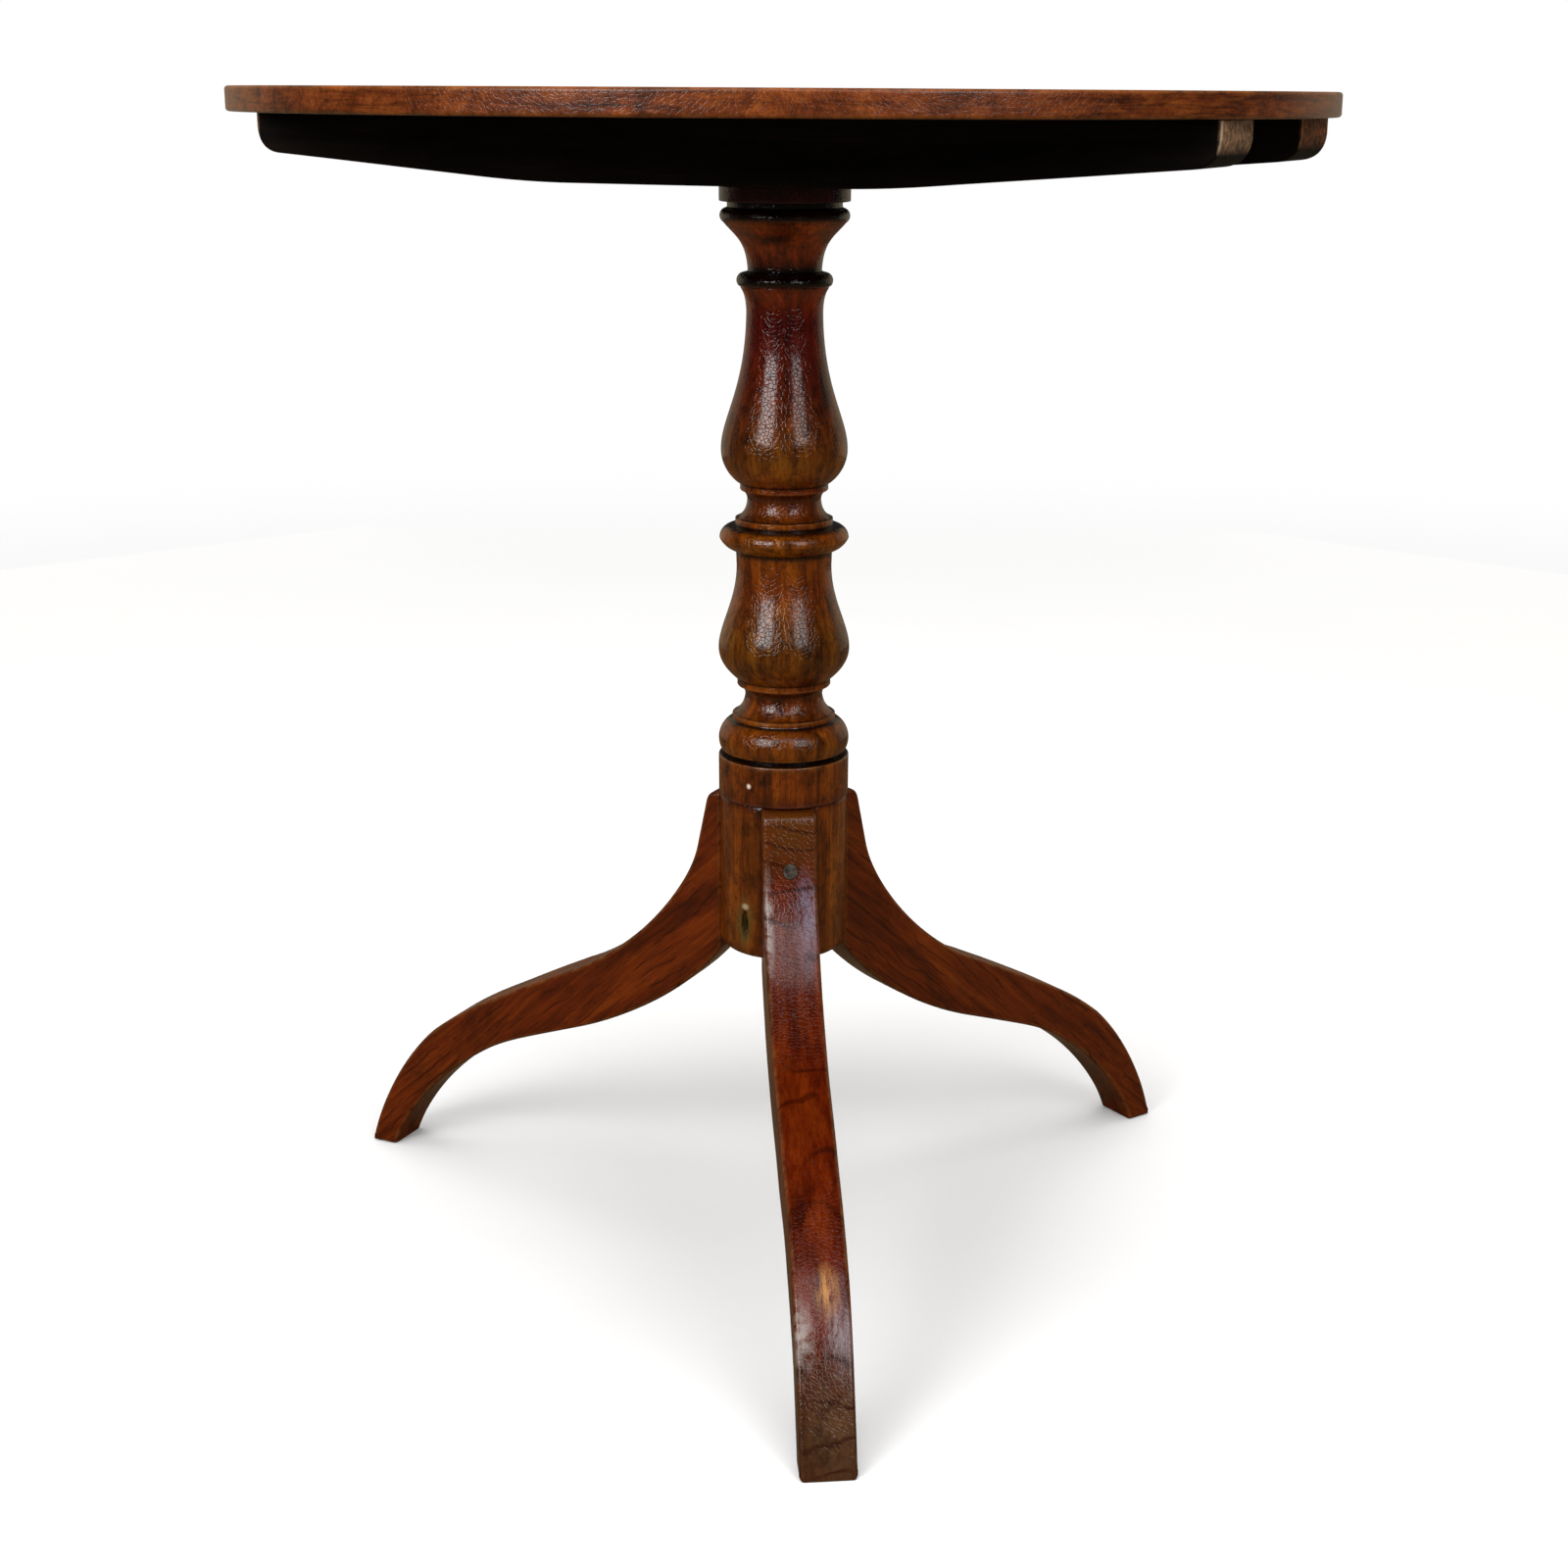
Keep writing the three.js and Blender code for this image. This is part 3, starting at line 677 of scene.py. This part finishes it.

# Palettes of wood are (deep, middle, light), and those of end grain are (dark, pale, worn), where
# worn is partly painted highlight.
RED_BROWN = ((0.018, 0.0016, 0.0003), (0.074, 0.0070, 0.0007), (0.150, 0.021, 0.0018))
SIDE_LEG_BROWN = ((0.018, 0.0018, 0.0003), (0.092, 0.0115, 0.0007), (0.180, 0.031, 0.0018))
HONEY_BROWN = ((0.015, 0.0024, 0.0004), (0.120, 0.0240, 0.0008), (0.245, 0.068, 0.0030))
RIM_BROWN = ((0.018, 0.0034, 0.0006), (0.108, 0.0210, 0.0026), (0.220, 0.056, 0.0080))
# The bearers' near black is painted shade: the shadow under the top.
PAINTED_SHADE_BLACK = ((0.001, 0.0006, 0.0004), (0.004, 0.0018, 0.001), (0.010, 0.0045, 0.002))
DUSTY_BROWN = ((0.008, 0.003, 0.0015), (0.024, 0.010, 0.005), (0.05, 0.022, 0.011))
PALE_WOOD = ((0.12, 0.06, 0.025), (0.26, 0.14, 0.06), (0.40, 0.24, 0.11))
# One end grain in two copies, painted lit for the front bearer and painted shaded for the back one.
LIT_END_GRAIN = ((0.060, 0.030, 0.015), (0.34, 0.19, 0.10), (0.50, 0.40, 0.28))
SHADED_END_GRAIN = ((0.010, 0.0025, 0.0008), (0.21, 0.060, 0.011), (0.30, 0.17, 0.08))

# The polish of each wood: its film's roughness and strength, and how far the arrises are worn.
TOP_FINISH = (0.55, 0.65, 0.5)
COLUMN_FINISH = (0.25, 0.8, 0.8)
LEG_FINISH = (0.27, 0.75, 0.4)

# Tints of the column by height: the drum, the two vases, and the near-black rings at its head.
# The dark line under the drum's band and the near-black ring, bead top and flange at the head are
# painted shade, the bead's partly grime too; the brighter orange under the ring and under the bead
# is partly a painted glow of light from below.
COLUMN_TONE_SHADE_AND_GLOW = (
    (194, (0.95, 0.95, 1.0)),
    (290, (0.95, 0.9, 1.0)),
    # Painted shade under the drum's band.
    (295, (0.45, 0.32, 1.0)),
    (304, (0.95, 0.85, 1.0)),
    (316, (0.95, 0.85, 1.0)),
    (330, (0.95, 1.05, 1.0)),
    (362, (1.05, 0.85, 1.0)),
    (384, (0.80, 1.0, 1.0)),
    (398, (0.85, 1.15, 1.0)),
    (428, (1.0, 0.85, 1.0)),
    (457, (1.2, 1.3, 1.0)),
    (484, (1.05, 0.75, 1.0)),
    (508, (0.85, 1.05, 1.0)),
    (530, (0.90, 0.75, 1.0)),
    (552, (0.80, 0.36, 0.5)),
    (588, (0.76, 0.10, 0.3)),
    # Brighter orange under the ring: partly tone, partly painted glow of light from below.
    (598, (1.35, 0.62, 1.0)),
    (607.2, (1.35, 0.70, 1.0)),
    # The ring at the head: painted shade.
    (607.9, (0.05, 0.03, 0.1)),
    (617, (0.05, 0.03, 0.1)),
    (620, (0.5, 0.3, 0.5)),
    # Brighter orange under the bead: partly tone, partly painted glow of light from below.
    (628, (1.45, 0.80, 1.0)),
    (645, (1.7, 1.15, 1.0)),
    # The bead's top: painted shade, partly grime.
    (646.5, (0.07, 0.05, 0.1)),
    (656.5, (0.06, 0.04, 0.1)),
    # The flange under the block: painted shade.
    (657.5, (0.26, 0.07, 0.3)),
    (664, (0.14, 0.03, 0.2)),
)

brass = old_metal("brass", (0.56, 0.38, 0.14), (0.16, 0.09, 0.03), 0.24, 0.55)
steel = old_metal("steel", (0.30, 0.28, 0.26), (0.07, 0.05, 0.04), 0.35, 0.7)


# ---------- round top ----------
def make_top():
    edge = 1.9
    under, over, rim = UNDERSIDE_Z, TOP_Z, RIM_RADIUS
    line = Outline(0, under).line(rim - 30, under, 12).line(rim - edge - 3, under, 3)
    line.line(rim - edge, under).arc(rim - edge, under + edge, edge, -90, 0, 8)
    line.line(rim, over - edge, 1.2).arc(rim - edge, over - edge, edge, 0, 90, 8)
    line.line(rim - edge - 3, over).line(rim - 30, over, 3).line(0, over, 12)
    top = lathe("top_board", line.points, 288)
    wood = mahogany(
        "top_wood", RIM_BROWN, GRAIN_Y, (0.31, 0.12, 0.4), TOP_FINISH, mottle=0.45,
        streaks=((20, 20, 300), 0.8),
    )
    dress(top, wood)
    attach(top, "top")
    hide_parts("table_top")


# ---------- bearers ----------
def bearer_points():
    """A bearer's side view, deepest in the middle and rounded up at its ends."""
    low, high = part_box("bearer_front")
    end = high[0] / MM
    top, bottom = high[2] / MM, low[2] / MM
    tip = top - BEARER_END_DEPTH
    line = Outline(-end, top).line(-end, tip + 15, 3)
    line.bend((-end + 1, tip + 0.5), (-end + 16, tip)).line(-140, bottom + 2.5, 8)
    line.bend((-108, bottom), (-80, bottom)).line(80, bottom, 8)
    line.bend((108, bottom), (140, bottom + 2.5)).line(end - 16, tip, 8)
    line.bend((end - 1, tip + 0.5), (end, tip + 15)).line(end, top, 3)
    return without_repeats(line.points)


def screw_bore_cutters(side):
    """The holes under the heads of one bearer's screws, from below the bearer up past the heads."""
    cutters = []
    for i in range(1, BEARER_SCREWS + 1):
        low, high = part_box(f"bearer_screw_{i}")
        x, y = (low[0] + high[0]) / 2 / MM, (low[1] + high[1]) / 2 / MM
        if y * side > 0:
            start, end = (x, y, BELOW_BEARERS_Z), (x, y, low[2] / MM + 4)
            cutters.append(cylinder("hole", SCREW_BORE_RADIUS, start, end, 32))
    return cutters


def pin_bore_cutter(side, inner):
    """The blind bore for a pivot pin, from the bearer's inner face outwards."""
    start = (PIVOT_X, inner - side * 3, PIVOT_Z)
    end = (PIVOT_X, inner + side * PIN_BORE_DEPTH, PIVOT_Z)
    return cylinder("bore", PIN_BORE_RADIUS, start, end)


def make_bearer(side, node_name):
    low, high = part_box(node_name)
    middle = (low[1] + high[1]) / 2 / MM
    half = (high[1] - low[1]) / 2 / MM
    piece = prism(node_name + "_shaped", bearer_points(), half, 1.2, amount=0.15, size=60)
    piece.location.y = middle * MM
    bpy.context.view_layer.update()
    carve(piece, screw_bore_cutters(side) + [pin_bore_cutter(side, middle - side * half)])
    shift = (0.2 * side, 0.35, 0.1)
    # The front bearer's end is painted lit and the back one's painted shaded.
    ends = LIT_END_GRAIN if side < 0 else SHADED_END_GRAIN
    end_at = high[0] / MM - 1
    # Its faces are near black, painted shade from the top above.
    dress(piece, dry_wood(node_name + "_wood", PAINTED_SHADE_BLACK, GRAIN_X, shift, end_at, ends))
    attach(piece, "top")
    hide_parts(node_name)


# ---------- column ----------
def column_points():
    """The turning from the foot of the drum to the tenon, one moulding after another."""
    base = DRUM_FOOT_Z
    tenon_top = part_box("column")[1][2] / MM
    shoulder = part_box("block")[0][2] / MM - GAP
    p = Outline(0, base).line(20, base, 5).line(32, base, 3)
    p.arc(32, base + 8, 8, -90, 0, 12).line(39.9, 293.6, 2.5)
    p.line(39.4, 294.5).line(40.6, 295.6).line(40.7, 319.8, 2.5).bend((40.7, 320.9), (39.6, 321.1), 4)
    p.line(34.6, 321.6, 1.5).line(34.6, 323.6, 1)
    p.arc(26.4, 331, 14.2, -28, 66, 26)
    p.line(32, 344.3, 0.6).line(32.2, 345).line(32, 346.8, 0.6)
    p.bend((25, 350), (24, 359), 14).bend((24.2, 363.5), (28.6, 365), 10)
    p.line(29, 365.6).line(28.9, 369, 0.8)
    p.curve((33.5, 373), (40.5, 379), (40.5, 388.5), 26)
    p.curve((40.5, 402), (29.1, 418), (29.1, 440), 40)
    p.line(29.4, 449.4, 1.5).bend((36.5, 451), (39.5, 457.3), 16).arc(31.9, 457.3, 7.6, 0, 90, 18)
    p.line(29.8, 465.3, 0.6).line(29.9, 466).line(29.8, 469.3, 0.8)
    p.bend((23.2, 471.5), (22.5, 480.5), 14).bend((22.6, 485), (26.3, 486.3), 10)
    p.line(26.9, 487).line(26.8, 490.3, 0.8)
    p.curve((31, 492.5), (38.4, 500), (38.4, 511), 26)
    p.curve((38.4, 530), (23.6, 546), (23, 592), 56)
    p.bend((23, 602), (26.2, 606.6), 10).line(26.5, 607.3).line(26.3, 608.1)
    p.arc(24.2, 611.2, 4.6, -42, 90, 24)
    p.line(22.1, 616.7, 0.6).curve((23, 634), (29.5, 636.5), (36.4, 644.6), 34)
    p.arc(34.0, 648.6, 4.6, -59, 78, 20).line(34.2, 653.6, 0.6).line(34.2, 656.4, 0.6)
    p.line(38.3, 656.8, 1).bend((38.9, 656.9), (38.9, 657.7), 4).line(38.9, shoulder - 1, 1.5)
    p.line(38.3, shoulder, 0.6).line(TENON_RADIUS, shoulder, 3)
    p.line(TENON_RADIUS, tenon_top, 4).line(0, tenon_top, 4)
    return p.points


def dovetail_cutter():
    """A dovetail socket along +x, open at the drum's foot and closed at its top."""
    outline = (
        (SOCKET_FLOOR, -SOCKET_TAIL_HALF),
        (DRUM_FLAT + 2, -SOCKET_NECK_HALF),
        (DRUM_FLAT + 2, SOCKET_NECK_HALF),
        (SOCKET_FLOOR, SOCKET_TAIL_HALF),
    )
    bm = bmesh.new()
    floor = DRUM_FOOT_Z - 4.5
    face = bm.faces.new([bm.verts.new((x * MM, y * MM, floor * MM)) for x, y in outline])
    made = bmesh.ops.extrude_face_region(bm, geom=[face])
    for item in made["geom"]:
        if isinstance(item, bmesh.types.BMVert):
            item.co.z = SOCKET_TOP_Z * MM
    return new_object("socket", bm)


def leg_seat_cutters():
    """A flat and a dovetail socket in the drum for each leg."""
    cutters = []
    for degrees in LEG_ANGLES:
        flat = slab("flat", (DRUM_FLAT, -30, 180), (DRUM_FLAT + 20, 30, DRUM_STEP_Z))
        cutters += [turned_about_z(flat, degrees), turned_about_z(dovetail_cutter(), degrees)]
    return cutters


def kerf_cutters():
    """The two saw cuts in the tenon's end that the wedges fill."""
    cutters = []
    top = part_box("column")[1][2] / MM
    floor = top - KERF_DEPTH
    for x in (-KERF_X, KERF_X):
        wedge = Outline(x - KERF_FLOOR_HALF, floor).line(x + KERF_FLOOR_HALF, floor)
        wedge.line(x + KERF_MOUTH_HALF, top + 1).line(x - KERF_MOUTH_HALF, top + 1)
        cutters.append(prism("kerf", wedge.points, TENON_RADIUS + 3, 0.01, 0.1, rows=2))
    return cutters


def at_gouge(radius, height):
    """A place in the gouge's direction from the axis, in millimetres."""
    return (radius * math.cos(GOUGE_ANGLE), radius * math.sin(GOUGE_ANGLE), height)


def gouge_cutter():
    """A short deep dent low on the front of the drum."""
    bm = bmesh.new()
    bmesh.ops.create_icosphere(bm, subdivisions=4, radius=1)
    for vert in bm.verts:
        dent = 1 + 0.25 * noise.noise(vert.co * 2.3)
        vert.co = Vector(c * radius for c, radius in zip(vert.co, GOUGE_RADII)) * dent * MM
    bmesh.ops.translate(bm, vec=Vector(at_gouge(40.3, 217)) * MM, verts=bm.verts)
    return new_object("gouge", bm)


# An olive halo, a dark pit and a pale lip at the gouge, a pale dot on the drum's band, and a dark
# patch on the flare under the head.
COLUMN_MARKS = [
    (at_gouge(38, 218), (8.5, 6.0, 22), (0.10, 0.085, 0.02), 0.9, "streaks"),
    (at_gouge(38, 218), (4.2, 5.0, 14), (0.006, 0.007, 0.002), 1.0, None),
    (at_gouge(38, 229), (3.6, 5, 2.8), (0.50, 0.40, 0.24), 1.0, None),
    ((-4.6, -40.1, 308), (1.9, 4.0, 2.1), (0.85, 0.72, 0.58), 1.0, None),
    ((7.0, -30.2, 635.6), (19, 9, 4.0), (0.004, 0.0012, 0.0005), 1.0, None),
]


def make_column():
    # Its upward faces are darkened, partly as dust and partly as painted shade.
    column = lathe("column_turning", column_points(), 144, amount=0.16, size=55, ledges=0.95)
    carve(column, leg_seat_cutters() + kerf_cutters() + [gouge_cutter()])
    wood = mahogany(
        "column_wood", HONEY_BROWN, GRAIN_Z, (0.3, 0.2, 0.7), COLUMN_FINISH, zones=COLUMN_TONE_SHADE_AND_GLOW,
        marks=COLUMN_MARKS, streaks=((190, 190, 120), 0.65),
    )
    dress(column, wood)
    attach(column, "base")
    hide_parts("column")


# ---------- legs ----------
def leg_points():
    """A leg's side view along +x: over the knee to the toe, then back under to the drum."""
    p = Outline(SHOULDER, LEG_ROOT_Z).line(SHOULDER, 294, 3).line(41.5, 293.4, 1)
    p.bend((46.3, 292.4), (47.4, 286), 8).line(54, 256, 2.5)
    p.curve((61, 224), (103, 176), (150, 156), 56)
    p.curve((187, 137), (232, 117), (262, 92), 50)
    p.curve((286, 70), (308, 34), (FOOT_REACH, 0), 44)
    p.line(297, 0, 2)
    p.curve((285, 33), (250, 68), (215, 88), 44)
    p.curve((193, 100), (163, 108.5), (140, 117), 30)
    p.curve((103, 131), (58, 158), (SHOULDER, LEG_ROOT_Z), 46)
    return without_repeats(p.points[:-1])


def thinning(x):
    """The share of a leg's root thickness that is left at a distance from the axis."""
    along = (x - SHOULDER) / (FOOT_REACH - SHOULDER)
    return 1 + (LEG_FOOT_HALF / LEG_ROOT_HALF - 1) * along


# Places on the front leg, in its own frame: x outwards, y to its left as seen from the column.
# They are a painted sheen on the knee (a bluish streak, a pale edge that is partly scuffs, and a
# purplish veil), the brown root, an orange rubbed patch, pale scuffs over the toe that are partly
# painted sheen, the brown toe with its dark streaks and pale nicks, and a dark chip.
FRONT_LEG_MARKS_AND_SHEEN = [
    # Painted sheen on the knee: a bluish streak, a pale edge that is partly scuffs, and a purplish
    # veil.
    ((62, 9, 222), (30, 8.5, 46), (0.18, 0.18, 0.26), 0.75, "streaks"),
    ((62, -14, 222), (30, 4.0, 46), (0.36, 0.32, 0.30), 0.9, "nicks"),
    ((66, 0, 214), (34, 20, 46), (0.11, 0.036, 0.032), 0.7, "streaks"),
    ((46, 0, 284), (26, 40, 40), (0.085, 0.025, 0.002), 0.85, None),
    ((266, 3, 86), (17, 9, 20), (0.36, 0.16, 0.035), 1.0, "streaks"),
    # Pale scuffs over the toe, partly painted sheen.
    ((283, -12, 66), (20, 8, 34), (0.28, 0.23, 0.21), 0.9, "nicks"),
    ((284, 9, 64), (20, 11, 34), (0.20, 0.15, 0.16), 0.95, "streaks"),
    ((306, 0, 18), (44, 60, 66), (0.050, 0.021, 0.008), 1.0, None),
    ((304, 0, 22), (40, 50, 56), (0.016, 0.005, 0.002), 0.7, "streaks"),
    ((304, 6, 26), (30, 20, 40), (0.100, 0.046, 0.020), 0.6, "nicks"),
    ((292, -13, 52), (5, 3.5, 7), (0.03, 0.012, 0.004), 1.0, None),
]


def make_leg(number, degrees):
    leg = prism(
        f"leg_{number}_shaped", leg_points(), LEG_ROOT_HALF, arris=2.6, corner=1.6, amount=0.5,
        size=45, rows=11, thin=thinning,
    )
    start, end = (PLUG_FLOOR, 0, LEG_SCREW_Z), (80, 0, LEG_SCREW_Z)
    plug_hole = cylinder("plug_hole", SCREW_BORE_RADIUS, start, end, 40)
    carve(leg, [plug_hole], smooth_angle=28)
    shift = (0.13 * number, 0.4 + 0.2 * number, 0.27 * number)
    is_front = number == 2
    marks = FRONT_LEG_MARKS_AND_SHEEN if is_front else ()
    palette = RED_BROWN if is_front else SIDE_LEG_BROWN
    wood = mahogany(
        f"leg_{number}_wood", palette, GRAIN_LEG, shift, LEG_FINISH, mottle=0.6, marks=marks, rings=8
    )
    dress(leg, wood)
    turned_about_z(leg, degrees)
    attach(leg, "base")
    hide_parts(f"leg_{number}")


# ---------- fittings ----------
def smoothed_edges(name, width):
    """Small rounded edges on a CAD piece, whose own mesh stays as it is."""
    obj = frame["nodes"][name]
    obj.modifiers.new("weld", "WELD").merge_threshold = 0.005 * MM
    bevel = obj.modifiers.new("edges", "BEVEL")
    bevel.width = width * MM
    bevel.segments = 3
    bevel.limit_method = "ANGLE"
    bevel.angle_limit = math.radians(40)
    return obj


def dress_cad(name, material, edge):
    dress(smoothed_edges(name, edge), material)


def make_knob():
    low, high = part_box("catch_knob")
    stem, middle = KNOB_STEM, low[2] / MM + KNOB_BALL
    neck, end = middle + KNOB_BALL, high[2] / MM
    p = Outline(0, middle - KNOB_BALL).arc(0, middle, KNOB_BALL, -90, 52, 26)
    p.line(3.9, neck - 0.6).bend((stem + 0.1, neck), (stem, neck + 2), 6)
    p.line(stem, end, 2).line(0, end)
    knob = lathe("knob_turned", p.points, 64)
    knob.location.x = (low[0] + high[0]) / 2
    bpy.context.view_layer.update()
    dress(knob, brass)
    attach(knob, "bolt")
    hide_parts("catch_knob")


def dress_fittings():
    dress_cad("block", dry_wood("block_wood", DUSTY_BROWN, GRAIN_X, (0.5, 0.1, 0.2)), 1.0)
    pins = dry_wood("pin_wood", DUSTY_BROWN, GRAIN_Y, (0.1, 0.6, 0.2))
    wedges = dry_wood("wedge_wood", PALE_WOOD, GRAIN_Z, (0.3, 0.3, 0.3))
    filler = filler_material()
    for name in ("pivot_pin_front", "pivot_pin_back"):
        dress_cad(name, pins, 0.5)
    for name in ("tenon_wedge_1", "tenon_wedge_2"):
        dress_cad(name, wedges, 0.15)
    for name in ("strike_plate", "catch_case", "catch_bolt"):
        dress_cad(name, brass, 0.3)
    for group, count, material in (
        ("strike_screw", 2, brass),
        ("catch_screw", 4, brass),
        ("bearer_screw", BEARER_SCREWS, steel),
        ("leg_screw", 3, steel),
        ("leg_plug", 3, filler),
    ):
        for i in range(1, count + 1):
            dress_cad(f"{group}_{i}", material, 0.12)


# ---------- stage ----------
# Distances and places on the stage are in metres, and angles in degrees.
FLOOR_RADIUS = 6
FADE_START = 0.5
FADE_END = 3.4
AMBIENT = 0.45  # how strongly the surroundings light the table
AMBIENT_IN_POLISH = 0.05  # and how strongly they show in its polish
LIGHT_DISTANCE = 2.4
OVERHEAD_Z = 3.2
CAMERA_AZIMUTH = 24.66  # at 0 the camera looks along +y
CAMERA_PITCH = 16.2
CAMERA_ROLL = 0.34
CAMERA_PLACE = (0.0189, -1.4371, 0.7173)
CAMERA_SHIFT = -0.0189


def make_floor():
    """A floor that fades out into the white surroundings well away from the table. It is white to
    look at and dim in the table's polish and on its underside, as a dark studio floor would be.
    Seen from below it is clear, so that the table's underside can be looked at."""
    bm = bmesh.new()
    bmesh.ops.create_circle(bm, cap_ends=True, segments=96, radius=FLOOR_RADIUS)
    floor = new_object("floor", bm)
    if floor.data.polygons[0].normal.z < 0:
        floor.data.flip_normals()
    material, tree, shader = blank_material("floor_white")
    place = node(tree, "TexCoord").outputs["Object"]
    shade = noise_of(tree, place, 3.0, 2.0)
    pale = ramp(tree, shade, [(0.3, 0.80), (0.7, 0.82)])
    rays = node(tree, "LightPath").outputs
    dim = mixed(tree, rays["Is Glossy Ray"], (0.20, 0.18, 0.15), (0.13, 0.09, 0.05))
    tree.links.new(mixed(tree, rays["Is Camera Ray"], dim, pale), shader.inputs["Base Color"])
    shader.inputs["Roughness"].default_value = 0.9
    shader.inputs["Specular IOR Level"].default_value = 0.0
    away = node(tree, "VectorMath", {0: place}, operation="LENGTH").outputs["Value"]
    reach = {"Value": away, "From Min": FADE_START, "From Max": FADE_END}
    fade = node(tree, "MapRange", reach, interpolation_type="SMOOTHSTEP").outputs[0]
    from_below = node(tree, "NewGeometry").outputs["Backfacing"]
    clear = node(tree, "BsdfTransparent")
    open_share = calc(tree, "MAXIMUM", fade, from_below)
    blend = node(tree, "MixShader", {0: open_share, 1: shader.outputs[0], 2: clear.outputs[0]})
    tree.links.new(blend.outputs[0], tree.nodes["Material Output"].inputs["Surface"])
    dress(floor, material)


def make_world():
    """White surroundings that light the table softly and show only faintly in its polish."""
    world = bpy.data.worlds.new("studio")
    bpy.context.scene.world = world
    world.use_nodes = True
    tree = world.node_tree
    rays = node(tree, "LightPath").outputs
    dimming = calc(tree, "MULTIPLY", rays["Is Glossy Ray"], AMBIENT - AMBIENT_IN_POLISH)
    strength = calc(tree, "SUBTRACT", AMBIENT, dimming)
    strength = calc(tree, "MAXIMUM", strength, rays["Is Camera Ray"])
    background = tree.nodes["Background"]
    background.inputs["Color"].default_value = (1, 1, 1, 1)
    tree.links.new(strength, background.inputs["Strength"])


def around(azimuth, elevation):
    """The step from the table's middle to a light, at an azimuth from the camera's side."""
    a = math.radians(CAMERA_AZIMUTH + azimuth)
    e = math.radians(elevation)
    way = Vector((math.sin(a) * math.cos(e), -math.cos(a) * math.cos(e), math.sin(e)))
    return way * LIGHT_DISTANCE


def add_softbox(name, place, aim, width, height, power):
    light = bpy.data.lights.new(name, "AREA")
    light.shape = "RECTANGLE"
    light.size, light.size_y = width, height
    light.energy = power
    lamp = bpy.data.objects.new(name, light)
    lamp.location = place
    lamp.rotation_mode = "QUATERNION"
    lamp.visible_camera = False
    lamp.rotation_quaternion = (aim - place).to_track_quat("-Z", "Y")
    bpy.context.collection.objects.link(lamp)
    return lamp


def make_lights():
    """Two windows in front, a high soft light between them, a warm glow behind on both sides, and
    an overhead light that doesn't show in the polish."""
    middle = Vector((0, 0, 0.42))
    add_softbox("window_left", middle + around(-37, 27), middle, 1.15, 1.2, 39)
    add_softbox("window_right", middle + around(33, 27), middle, 0.95, 1.2, 17)
    add_softbox("high_front", middle + around(6, 52), middle, 1.7, 1.2, 14)
    for name, azimuth in (("behind_left", -140), ("behind_right", 140)):
        glow = add_softbox(name, middle + around(azimuth, 8), middle, 2.2, 1.6, 5.0)
        glow.data.color = (1.0, 0.86, 0.60)
    overhead = add_softbox("overhead", Vector((0, 0, OVERHEAD_Z)), middle, 2.6, 2.6, 98)
    overhead.visible_glossy = False


def make_camera():
    """The photograph's view: level with the top, looking down a little, with a very slight roll."""
    camera = bpy.data.cameras.new("camera")
    camera.lens = 54.53
    camera.sensor_width = 36
    camera.shift_x = CAMERA_SHIFT
    camera.clip_end = 200
    eye = bpy.data.objects.new("camera", camera)
    turn = Matrix.Rotation(math.radians(CAMERA_AZIMUTH), 4, "Z")
    pitch = Matrix.Rotation(math.radians(90 - CAMERA_PITCH), 4, "X")
    roll = Matrix.Rotation(math.radians(CAMERA_ROLL), 4, "Z")
    place = turn @ Vector(CAMERA_PLACE)
    eye.matrix_world = Matrix.Translation(place) @ turn @ pitch @ roll
    bpy.context.collection.objects.link(eye)
    bpy.context.scene.camera = eye


bpy.context.scene.view_settings.view_transform = "Standard"
make_camera()
make_world()
make_lights()
make_floor()
make_top()
make_bearer(-1, "bearer_front")
make_bearer(1, "bearer_back")
make_column()
for leg_number, leg_angle in enumerate(LEG_ANGLES, 1):
    make_leg(leg_number, leg_angle)
make_knob()
dress_fittings()
